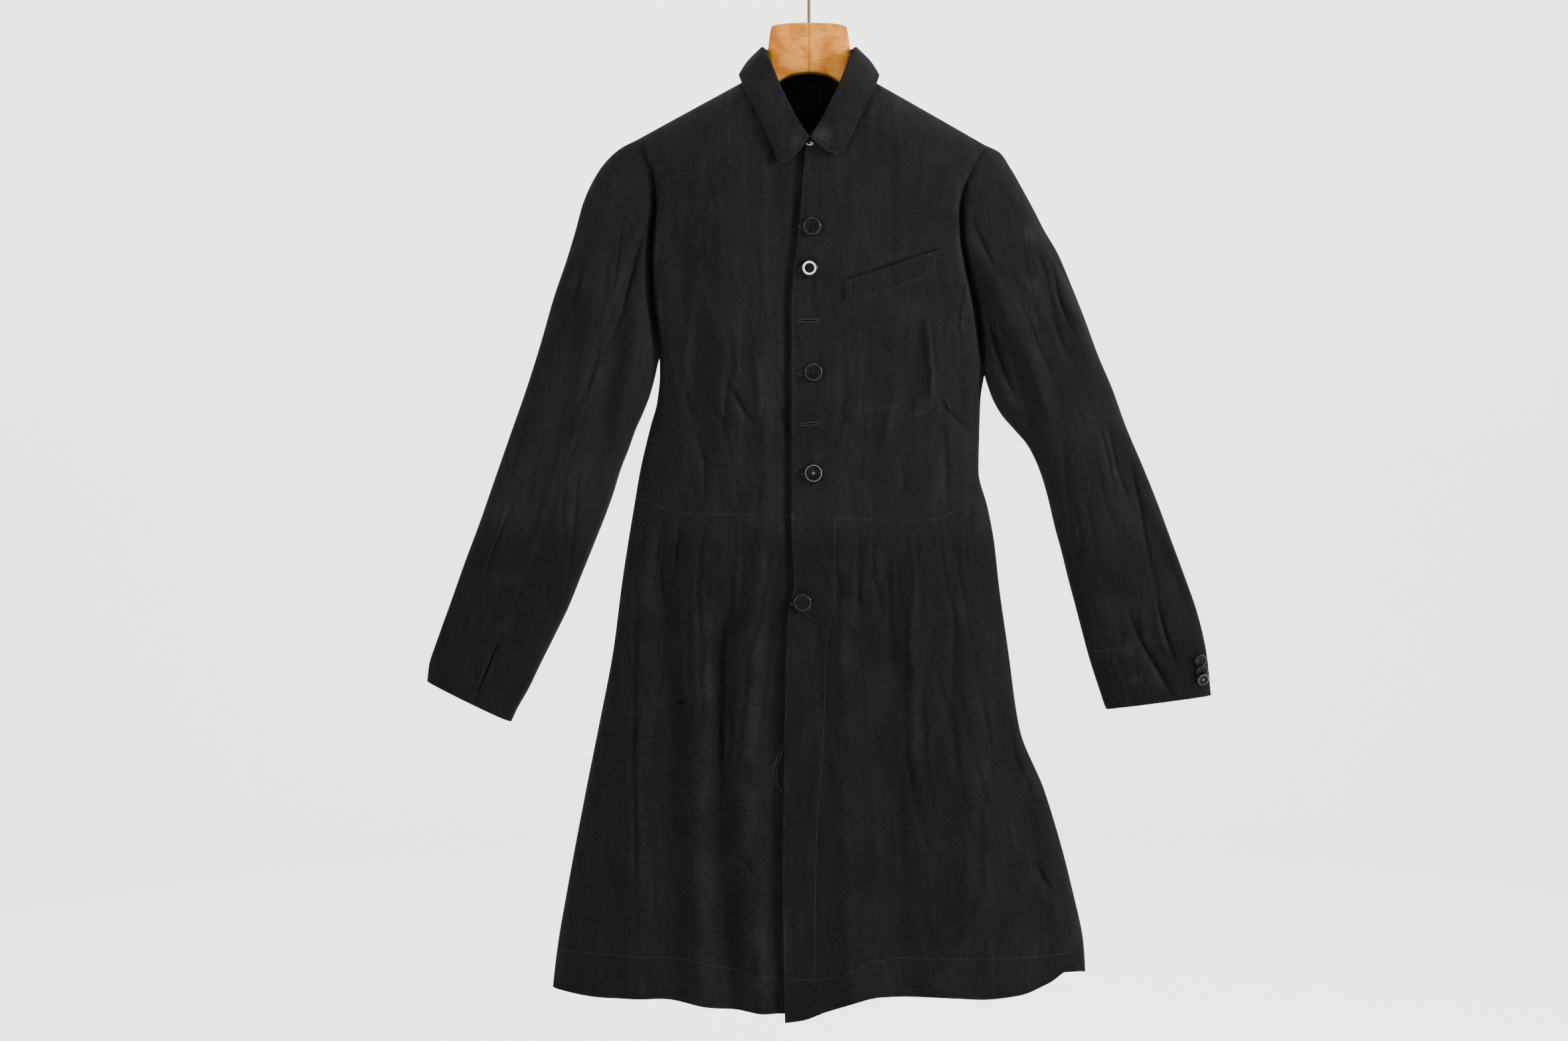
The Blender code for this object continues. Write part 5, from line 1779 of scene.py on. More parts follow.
@dataclass(frozen=True)
class WoodFinish:
    """Beech, steam bent, stained and varnished, with the stain uneven in patches."""

    pale: str = "B6792D"
    honey: str = "9B5912"
    dark: str = "5E360F"
    grain_mm: float = 2.6
    patch_mm: float = 26.0
    joint_mm: float = 0.35
    roughness: float = 0.5

    def material(self) -> bpy.types.Material:
        """Builds the finish.

        Returns:
            The material.
        """
        wood, dark = Recipe("bent_stained_beech"), linear(self.dark)
        place = wood.add("ShaderNodeTexCoord", "Object")
        stretched = wood.add("ShaderNodeMapping", Vector=place, Scale=(0.1, 1.0, 1.0))
        grain = wood.add(
            "ShaderNodeTexNoise", Vector=stretched, Scale=noise_period(self.grain_mm), Detail=6.0,
            Roughness=0.65, Distortion=0.5,
        )
        patch = wood.add(
            "ShaderNodeTexNoise", Vector=place, Scale=noise_period(self.patch_mm), Detail=3.0, Distortion=0.8,
        )
        stain = wood.add("ShaderNodeMapRange", Value=patch, From_Min=0.4, From_Max=0.62)
        body = wood.add("ShaderNodeMix", 2, COLOURS, i0=stain, i6=linear(self.pale), i7=linear(self.honey))
        lines = wood.add("ShaderNodeMapRange", Value=grain, From_Min=0.52, From_Max=0.72, To_Max=0.6)
        grained = wood.add("ShaderNodeMix", 2, COLOURS, i0=lines, i6=body, i7=dark)
        across = wood.add("ShaderNodeSeparateXYZ", "X", Vector=place)
        aside = wood.add("ShaderNodeMath", settings={"operation": "ABSOLUTE"}, i0=across)
        joint = wood.add(
            "ShaderNodeMapRange", Value=aside, From_Min=self.joint_mm * MM, From_Max=2 * self.joint_mm * MM,
            To_Min=0.75, To_Max=0.0,
        )
        colour = wood.add("ShaderNodeMix", 2, COLOURS, i0=joint, i6=grained, i7=dark)
        bump = wood.add("ShaderNodeBump", Strength=0.25, Distance=0.2 * MM, Height=grain)
        return wood.finish(
            Base_Color=colour, Normal=bump, Roughness=self.roughness, IOR=1.5, Specular_IOR_Level=0.12,
        )


@dataclass(frozen=True)
class WireFinish:
    """Drawn metal wire, dulled by age, with fine spots."""

    name: str
    bright: str
    dull: str
    roughness: float = 0.34
    spot_mm: float = 1.6

    def material(self) -> bpy.types.Material:
        """Builds the finish.

        Returns:
            The material.
        """
        wire = Recipe(self.name)
        place = wire.add("ShaderNodeTexCoord", "Object")
        spots = wire.add(
            "ShaderNodeTexNoise", Vector=place, Scale=noise_period(self.spot_mm), Detail=4.0, Roughness=0.7,
        )
        share = wire.add("ShaderNodeMapRange", Value=spots, From_Min=0.45, From_Max=0.7)
        colour = wire.add("ShaderNodeMix", 2, COLOURS, i0=share, i6=linear(self.bright), i7=linear(self.dull))
        rough = wire.add(
            "ShaderNodeMapRange", Value=spots, From_Min=0.3, From_Max=0.7, To_Min=self.roughness - 0.06,
            To_Max=self.roughness + 0.2,
        )
        return wire.finish(Base_Color=colour, Roughness=rough, Metallic=1.0)


@dataclass(frozen=True)
class ThreadFinish:
    """Cotton sewing thread, black faded to grey, twisted: matte with a fine spiral."""

    colour: str = "3B3835"
    twist: str = "1A1919"
    twist_mm: float = 0.9

    def material(self) -> bpy.types.Material:
        """Builds the finish.

        Returns:
            The material.
        """
        thread = Recipe("faded_cotton_thread")
        place = thread.add("ShaderNodeTexCoord", "Object")
        spiral = thread.add("ShaderNodeTexNoise", Vector=place, Scale=noise_period(self.twist_mm), Detail=2.0)
        colour = thread.add(
            "ShaderNodeMix", 2, COLOURS, i0=spiral, i6=linear(self.twist), i7=linear(self.colour),
        )
        return thread.finish(Base_Color=colour, Roughness=0.85, Specular_IOR_Level=0.1)


class WoodRow(NamedTuple):
    """A section of the hanger's wood: its place, its top and bottom, and half its depth."""

    x: float
    top: float
    bottom: float
    half_depth: float


@dataclass
class Hanger:
    """A bent wooden hanger: a block in the middle and two arms under the shoulders."""

    finish: WoodFinish = field(default_factory=WoodFinish)
    block: tuple[WoodRow, ...] = (
        WoodRow(0, -77.6, -132, 9), WoodRow(18, -78, -134.4, 9), WoodRow(33, -79.4, -141.6, 9),
        WoodRow(42, -82, -150, 8), WoodRow(44.6, -96, -154, 6.2), WoodRow(46.2, -110, -157, 4.6),
    )
    arm_start: float = 46.9
    arm_end: float = 181.0
    arm_steps: int = 40
    arm_height: tuple[float, float] = (27.0, 17.0)
    arm_half: tuple[float, float] = (5.6, 5.0)
    arm_seat: float = 2.7
    arm_crown: float = 3.8
    arm_full_drop: float = 12.0
    edge: float = 3.0
    bevel: float = 6.5
    joint_half: float = 0.35
    joint_depth: float = 0.25
    socket_radius: float = 2.3
    socket_depth: float = 24.0

    def rows(self) -> list[WoodRow]:
        """Sections from the middle to an arm's tip, on the left.

        Returns:
            The block's sections.
        """
        keys = np.array([row.x for row in self.block], float)
        fine = np.unique(np.concatenate([[0, self.joint_half, 1.2], np.linspace(2, keys[-1], 34)]))
        read = [smooth(keys, column(self.block, name), fine) for name in ("top", "bottom", "half_depth")]
        return [WoodRow(float(x), float(t), float(b), float(h)) for x, t, b, h in zip(fine, *read)]

    def arm(self, side: int) -> list[WoodRow]:
        """Sections of one arm, seated under the shoulder seam.

        Args:
            side: -1 for the right arm, 1 for the left.

        Returns:
            The sections, outwards.
        """
        made = []
        for share in np.linspace(0, 1, self.arm_steps + 1):
            x = self.arm_start + (self.arm_end - self.arm_start) * share
            top = float(FORM.ridge_z(np.array(side * (max(x, FORM.neck_half) + 0.01)))) - self.arm_seat
            height = self.arm_height[0] + (self.arm_height[1] - self.arm_height[0]) * share
            depth = self.arm_half[0] + (self.arm_half[1] - self.arm_half[0]) * share
            made.append(WoodRow(side * x, top, top - height, depth))
        return made

    def section(self, row: WoodRow) -> list[tuple[float, float, float]]:
        """Points round the wood at one place, with rounded long edges.

        Args:
            row: the section.

        Returns:
            The points in order.
        """
        on_arm = abs(row.x) >= self.arm_start
        dent = self.joint_depth * math.exp(-((row.x / (2 * self.joint_half)) ** 2))
        half = row.half_depth - dent
        points = []
        if on_arm:
            crown = row.top - self.arm_crown
            fall = self.arm_full_drop - self.arm_crown
            points += [(0.8, row.top), (2.0, row.top - 0.42 * self.arm_crown), (3.0, crown)]
            points += [(3.0 + (half - 3.0) * s, crown - fall * s**1.4) for s in (0.25, 0.5, 0.75)]
            points += [(half, row.top - self.arm_full_drop)]
        else:
            top = row.top - dent
            corner = min(self.edge, half * 0.6)
            for k in range(7):
                angle = math.pi / 2 * k / 6
                across = half - corner + corner * math.sin(angle)
                points.append((across, top - corner + corner * math.cos(angle)))
        corner = min(self.edge, half * 0.6)
        slope = self.bevel * ease(np.array(self.arm_start - abs(row.x)), 0.0, 8.0)
        for k in range(7):
            angle = math.pi / 2 * k / 6
            rise = corner - corner * math.sin(angle) + float(slope) * (1 - k / 6)
            points.append((half - corner + corner * math.cos(angle), row.bottom + rise))
        around = [(y, z) for y, z in points] + [(-y, z) for y, z in reversed(points)]
        return [(row.x, y, z) for y, z in around]

    def build(self) -> bpy.types.Object:
        """The wood as one solid, with the wire's hole in its top.

        Returns:
            The object.
        """
        middle = self.rows()
        right = [row._replace(x=-row.x) for row in middle] + self.arm(-1)
        left = middle + self.arm(1)
        rows = right[::-1] + left[1:]
        sections = [self.section(row) for row in rows]
        count = len(sections[0])
        points = np.array(sections).reshape(-1, 3)
        index = np.arange(len(points)).reshape(len(rows), count)
        faces = [tuple(index[0]), tuple(index[-1][::-1]), *ring_faces(index)]
        made = solid_object("hanger_wood", points, faces, sharp=35.0)
        top = self.block[0].top
        profile = (
            (0.0, top + 6), (self.socket_radius, top + 6), (self.socket_radius, top - self.socket_depth),
            (0.0, top - self.socket_depth),
        )
        drill_out(made, solid_object("hook_drill", *turned_mesh(profile, 24)))
        made.data.materials.append(self.finish.material())
        return made


def bake_modifiers(made: bpy.types.Object) -> None:
    """Turns an object's modifiers into plain mesh.

    Args:
        made: the object.
    """
    graph = bpy.context.evaluated_depsgraph_get()
    mesh = bpy.data.meshes.new_from_object(made.evaluated_get(graph), depsgraph=graph)
    made.modifiers.clear()
    made.data = mesh


@dataclass
class HangerHook:
    """The hanger's wire hook; its loop is above the photograph's edge."""

    finish: WireFinish = WireFinish("aged_steel_wire", "6A5D4F", "372F27", 0.5)
    wire: float = 1.9
    loop: float = 19.0
    wood_top: float = -80.5
    socket_depth: float = 24.0
    sides: int = 24

    def build(self) -> bpy.types.Object:
        """Up out of the wood, then round the loop, whose inside crest is the origin.

        Returns:
            The object.
        """
        middle = self.wire - self.loop
        foot = self.wood_top - self.socket_depth + 0.5
        path = [(0.0, 0.0, z) for z in np.linspace(foot, middle - self.loop - 9, 14)]
        angles = np.radians(np.linspace(-62, 215, 90))
        path += [(self.loop * math.cos(a), 0.0, middle + self.loop * math.sin(a)) for a in angles]
        points, faces = tube_mesh(np.array(path), self.wire, self.sides)
        made = mesh_object("hanger_hook_wire", points * MM, faces)
        face_outwards(made)
        made.data.materials.append(self.finish.material())
        return made


@dataclass
class CollarFastening:
    """A small brass hook in the collar's notch."""

    finish: WireFinish = WireFinish("drawn_brass_wire", "BFB08A", "7A6A48", 0.4)
    path: tuple[tuple[float, float, float], ...] = (
        (-3.4, -44.65, -219.3), (-0.5, -44.65, -220.6), (2.6, -44.65, -220.3), (3.7, -44.65, -219.3),
        (2.7, -44.65, -218.3), (0.4, -44.65, -218.2),
    )
    wire: float = 0.6

    def build(self) -> bpy.types.Object:
        """The hook's wire.

        Returns:
            The object.
        """
        points, faces = tube_mesh(smoothed(self.path, 48), self.wire, 12)
        made = mesh_object("collar_hook_wire", points * MM, faces)
        face_outwards(made)
        made.data.materials.append(self.finish.material())
        return made


@dataclass(frozen=True)
class ButtonForm:
    """A four-hole horn button with a rim round a dished middle."""

    radius: float
    thick: float
    rim: float = 0.7
    hole: float = 0.95
    hole_spread: float = 1.75
    thread: float = 0.24
    sides: int = 64

    def profile(self) -> list[tuple[float, float]]:
        """Half outline, from the middle of the face to the middle of the back.

        Returns:
            Its (radius, height) points.
        """
        half, r = self.thick / 2, self.radius
        face = [(0.0, half - self.rim), (0.30 * r, half - self.rim), (0.52 * r, half - self.rim + 0.04)]
        face += [(0.58 * r, half - 0.55 * self.rim), (0.64 * r, half - 0.18 * self.rim), (0.70 * r, half)]
        face += [(0.76 * r, half + 0.05), (0.82 * r, half + 0.03), (0.86 * r, half - 0.06)]
        face += [(0.91 * r, 0.84 * half), (0.96 * r, 0.62 * half), (r, 0.2 * half)]
        back = [(0.985 * r, -0.25 * half), (0.92 * r, -0.62 * half), (0.6 * r, -half), (0.0, -half)]
        return face + back

    def placing(self, centre: Array, facing: Array, turn: float) -> Matrix:
        """Where the button is and how it is turned.

        Args:
            centre: its middle in millimetres.
            facing: the way it faces.
            turn: about its own axis, in degrees.

        Returns:
            The matrix.
        """
        rotation = Vector([float(v) for v in facing]).to_track_quat("Z", "Y").to_matrix().to_4x4()
        spin = rotation @ Matrix.Rotation(math.radians(turn), 4, "Z")
        spin.translation = [float(c) * MM for c in centre]
        return spin

    def cross(self, place: Matrix) -> list[Array]:
        """Paths of the thread that crosses between the holes, in millimetres.

        Args:
            place: the button's place.

        Returns:
            Four paths.
        """
        dish, paths = self.thick / 2 - self.rim, []
        for k in range(4):
            angle = math.radians(45 + 90 * (k // 2))
            way = np.array((math.cos(angle), math.sin(angle), 0.0)) * self.hole_spread
            aside = np.array((-way[1], way[0], 0.0)) * (0.13 if k % 2 else -0.13)
            rise = dish + self.thread * (2.6 if k < 2 else 1.2)
            steps = ((1.0, -dish), (0.97, dish), (0.7, dish + 0.7 * (rise - dish)))
            half = [way * share + aside + (0, 0, z) for share, z in steps]
            other = [point - 2 * (point - aside) * (1, 1, 0) for point in half[::-1]]
            path = [*half, aside + (0, 0, rise), *other]
            paths.append(np.array([place @ Vector(point * MM) for point in path]) / MM)
        return paths

    def build(self, name: str, place: Matrix, ring: tuple[float, float, float]) -> bpy.types.Object:
        """One button with its holes.

        Args:
            name: the object's name.
            place: where it is and how it is turned.
            ring: a painted highlight ring's inner and outer share of the radius, and how pale it is; the ring
                stands for the lamps' reflection on the polished rim.

        Returns:
            The object.
        """
        made = solid_object(name, *turned_mesh(self.profile(), self.sides), sharp=35.0)
        pin, pin_faces = turned_mesh(((0, 5), (self.hole, 5), (self.hole, -5), (0, -5)), 14)
        angles = [math.radians(45 + 90 * k) for k in range(4)]
        shifts = [(self.hole_spread * math.cos(a), self.hole_spread * math.sin(a), 0) for a in angles]
        drill_out(made, solid_object("button_drill", *joined((pin + shift, pin_faces) for shift in shifts)))
        spots = np.array([vertex.co for vertex in made.data.vertices]) / MM
        out = np.hypot(spots[:, 0], spots[:, 1]) / self.radius
        # Painted highlight: a pale ring on the face, stored in the wear_and_highlight attribute.
        rubbed_and_highlight = (out > ring[0]) & (out < ring[1]) & (spots[:, 2] > 0)
        wear_and_highlight = made.data.attributes.new("wear_and_highlight", "FLOAT", "POINT")
        wear_and_highlight.data.foreach_set("value", np.float32(rubbed_and_highlight * ring[2]))
        made.data.transform(place)
        return made


class WornPatch(NamedTuple):
    """A place rubbed grey: its pixel in the photograph, its reach in millimetres and its strength."""

    column: float
    row: float
    reach: float
    strength: float


WORN_PATCHES = (
    WornPatch(1237, 209, 8, 0.4), WornPatch(1197, 220, 6, 0.2), WornPatch(1550, 355, 12, 0.2),
    WornPatch(1557, 430, 8, 0.22), WornPatch(1370, 470, 15, 0.1), WornPatch(1650, 985, 7, 0.25),
    WornPatch(1699, 978, 8, 0.28), WornPatch(1708, 1025, 5, 0.25), WornPatch(829, 736, 8, 0.2),
    WornPatch(801, 827, 8, 0.22), WornPatch(779, 872, 8, 0.2), WornPatch(758, 942, 7, 0.22),
    WornPatch(1392, 610, 6, 0.15), WornPatch(1300, 345, 20, 0.07), WornPatch(1110, 470, 30, 0.05),
    WornPatch(1650, 825, 45, 0.09), WornPatch(1695, 925, 40, 0.1), WornPatch(1600, 650, 40, 0.06),
)
"""Places rubbed grey, as photographed."""


@dataclass
class Tailoring:
    """The cloth pieces: how they are thickened and rubbed."""

    thickness: float = 1.4
    edge_rub: float = 0.22
    edge_reach: float = 1.2
    ridge_rub: float = 0.16
    ridge_height: float = 0.6
    welt_thickness: float = 1.2
    finish: DrillFinish = field(default_factory=DrillFinish)

    def rub(self, panel: Panel, normals: Array, seed: int) -> None:
        """Marks a panel pale along its edges and on the tops of its folds.

        Args:
            panel: the panel, whose wear is set.
            normals: unit vectors at its points.
            seed: which patchiness.
        """
        away = panel.edge_distance()
        x, z = panel.grid[..., 0] + panel.grid[..., 1], panel.grid[..., 2]
        coarse, fine = value_noise(x, z, 26.0, seed), value_noise(x, z, 5.0, seed + 7)
        patchy = np.clip(0.4 + 0.7 * coarse + 0.4 * fine, 0, 1)
        edges = sum(np.exp(-((away[name] / self.edge_reach) ** 2)) for name in away)
        height = np.sum((panel.grid - blurred(panel.grid, 10)) * normals, axis=-1)
        ridges = np.clip(height / self.ridge_height, 0, 1)
        border = np.minimum.reduce([away[name] for name in away])
        ridges *= ease(border, 4, 12)
        spots = np.zeros_like(x)
        middles = PHOTO.line([patch[:2] for patch in WORN_PATCHES])
        for (spot_x, spot_z), patch in zip(middles, WORN_PATCHES):
            away = np.hypot(panel.grid[..., 0] - spot_x, z - spot_z)
            spots += patch.strength * np.exp(-((away / patch.reach) ** 2)) * (panel.grid[..., 1] < 0)
        panel.wear_and_highlight = np.maximum(panel.wear_and_highlight, spots * (0.4 + 0.6 * patchy))
        total = self.edge_rub * edges * patchy + self.ridge_rub * ridges * np.maximum(patchy, 0.2)
        panel.wear_and_highlight = np.clip(np.maximum(panel.wear_and_highlight, total), 0, 1)

    def sew(
        self, panels: Sequence[Panel], material: bpy.types.Material, thickness: float, seed: int
    ) -> list[bpy.types.Object]:
        """Makes walls of cloth that share their normals at the seams.

        Args:
            panels: the panels, facing outwards.
            material: their cloth.
            thickness: of the cloth.
            seed: of their wear.

        Returns:
            One object for each panel.
        """
        made = []
        for number, (panel, normals) in enumerate(zip(panels, shared_normals(panels))):
            self.rub(panel, normals, seed + number)
            piece = wall_object(panel, normals, thickness)
            piece.data.materials.append(material)
            made.append(piece)
        return made


@dataclass
class BreastWelt:
    """The slanting welt of the left breast pocket."""

    corners: tuple[tuple[float, float], ...] = ((39.5, -370), (40, -391.5), (144, -356), (146, -333.5))
    columns: int = 72
    rows: int = 14
    thickness: float = 1.2
    clearance: float = 0.35
    cloth: float = 1.4

    def build(self, body: CoatBody) -> Panel:
        """The welt as a panel on the left front.

        Args:
            body: the coat's body.

        Returns:
            The panel, facing outwards.
        """
        corners = np.array(self.corners, float)
        across, down = np.linspace(0, 1, self.columns + 1), np.linspace(0, 1, self.rows + 1)
        top = corners[0] + (corners[3] - corners[0]) * across[:, None]
        bottom = corners[1] + (corners[2] - corners[1]) * across[:, None]
        flat = top[None] + (bottom - top)[None] * down[:, None, None]
        lift = self.cloth / 2 + self.clearance + self.thickness / 2
        y = body.front_y(body.left, flat[..., 0], flat[..., 1]) - lift
        panel = body.panel("breast_pocket_welt_cloth", flat, y)
        return panel.facing_from(np.array((0, 0, -400.0)))


class Surface:
    """The finished cloth, for laying small things on it by their place in the photograph."""

    def __init__(self, pieces: Sequence[bpy.types.Object]) -> None:
        """Reads the pieces' meshes.

        Args:
            pieces: the cloth, with places in their meshes.
        """
        points: list[Vector] = []
        faces: list[list[int]] = []
        for piece in pieces:
            start = len(points)
            points += [vertex.co.copy() for vertex in piece.data.vertices]
            faces += [[i + start for i in polygon.vertices] for polygon in piece.data.polygons]
        self.tree = BVHTree.FromPolygons(points, faces)

    def hit(self, place: Point2, lift: float, face: Face = Face.FRONT) -> tuple[Array, Array]:
        """The cloth's surface at a place.

        Args:
            place: seen from the front, in millimetres.
            lift: how far over the cloth, in millimetres.
            face: the side looked at.

        Returns:
            The point in millimetres and the surface's direction; the point is nan where there is none.
        """
        way = 1 if face is Face.FRONT else -1
        start = Vector((place.x * MM, -way * 0.4, place.z * MM))
        spot, normal, _, _ = self.tree.ray_cast(start, Vector((0, way, 0)))
        if spot is None:
            return np.full(3, np.nan), np.array((0.0, -way, 0.0))
        if normal.y * way > 0:
            normal = -normal
        return np.array(spot) / MM + np.array(normal) * lift, np.array(normal)

    def path(self, line: Array, step: float, lift: float, face: Face = Face.FRONT) -> Array:
        """A line laid on the cloth.

        Args:
            line: (x, z) points in millimetres.
            step: between points.
            lift: over the cloth.
            face: the side looked at.

        Returns:
            Points in millimetres, without those that miss the cloth.
        """
        line = np.asarray(line, float)
        length = np.hypot(*np.diff(line, axis=0).T).sum()
        places = along(line, np.linspace(0, 1, max(3, int(length / step) + 1)))
        found = np.array([self.hit(Point2(float(x), float(z)), lift, face)[0] for x, z in places])
        return found[~np.isnan(found[:, 0])]


@dataclass
class StitchTree:
    """A Geometry Nodes tree that lays stitches along paths."""

    name: str = "stitches_along_path"

    def build(self) -> bpy.types.NodeTree:
        """The tree, with its sizes in metres as inputs.

        Returns:
            The tree.
        """
        tree = bpy.data.node_groups.new(self.name, "GeometryNodeTree")
        tree.interface.new_socket("Paths", in_out="INPUT", socket_type="NodeSocketGeometry")
        for name in ("Pitch", "Along", "Across", "Height"):
            tree.interface.new_socket(name, in_out="INPUT", socket_type="NodeSocketFloat")
        tree.interface.new_socket("Outward", in_out="INPUT", socket_type="NodeSocketVector")
        tree.interface.new_socket("Thread", in_out="INPUT", socket_type="NodeSocketMaterial")
        tree.interface.new_socket("Stitches", in_out="OUTPUT", socket_type="NodeSocketGeometry")
        given = tree.nodes.new("NodeGroupInput").outputs
        curve = add_node(tree, "GeometryNodeMeshToCurve", Mesh=given["Paths"])
        spaced = add_node(
            tree, "GeometryNodeResampleCurve", settings={"mode": "LENGTH"}, Curve=curve,
            Length=given["Pitch"],
        )
        tangent = add_node(tree, "GeometryNodeInputTangent")
        lengthways = add_node(
            tree, "FunctionNodeAlignRotationToVector", settings={"axis": "X"}, Vector=tangent,
        )
        upright = add_node(
            tree, "FunctionNodeAlignRotationToVector", settings={"axis": "Z", "pivot_axis": "X"},
            Rotation=lengthways, Vector=given["Outward"],
        )
        bead = add_node(tree, "GeometryNodeMeshIcoSphere", Radius=0.5, Subdivisions=1)
        size = add_node(
            tree, "ShaderNodeCombineXYZ", X=given["Along"], Y=given["Across"], Z=given["Height"],
        )
        stitch = add_node(tree, "GeometryNodeTransform", Geometry=bead, Scale=size)
        smooth_bead = add_node(tree, "GeometryNodeSetShadeSmooth", Geometry=stitch)
        placed = add_node(
            tree, "GeometryNodeInstanceOnPoints", Points=spaced, Instance=smooth_bead, Rotation=upright,
        )
        real = add_node(tree, "GeometryNodeRealizeInstances", Geometry=placed)
        dyed = add_node(tree, "GeometryNodeSetMaterial", Geometry=real, Material=given["Thread"])
        out = tree.nodes.new("NodeGroupOutput")
        tree.links.new(dyed, out.inputs["Stitches"])
        return tree


@dataclass(frozen=True)
class StitchSize:
    """A kind of stitch, in millimetres."""

    pitch: float
    along: float
    across: float
    height: float


RUNNING = StitchSize(3.2, 2.3, 0.55, 0.4)
WHIPPED = StitchSize(0.75, 0.62, 1.7, 0.9)


@dataclass
class Stitcher:
    """Lays stitches as plain meshes."""

    tree: bpy.types.NodeTree
    thread: bpy.types.Material

    def lay(
        self, name: str, paths: Sequence[Array], size: StitchSize, outward: tuple[float, float, float]
    ) -> bpy.types.Object:
        """Stitches along paths.

        Args:
            name: the piece's name.
            paths: points in millimetres.
            size: the kind of stitch.
            outward: the way the cloth faces there.

        Returns:
            The piece.
        """
        points, edges = [], []
        for path in paths:
            start = len(points)
            points += [tuple(float(v) * MM for v in point) for point in path]
            edges += [(start + i, start + i + 1) for i in range(len(path) - 1)]
        mesh = bpy.data.meshes.new(name)
        mesh.from_pydata(points, edges, [])
        made = bpy.data.objects.new(name, mesh)
        bpy.context.scene.collection.objects.link(made)
        modifier = made.modifiers.new("stitches", "NODES")
        modifier.node_group = self.tree
        values = {
            "Pitch": size.pitch * MM, "Along": size.along * MM, "Across": size.across * MM,
            "Height": size.height * MM, "Outward": outward, "Thread": self.thread,
        }
        for item in self.tree.interface.items_tree:
            if item.in_out == "INPUT" and item.name in values:
                modifier[item.identifier] = values[item.name]
        bake_modifiers(made)
        return made


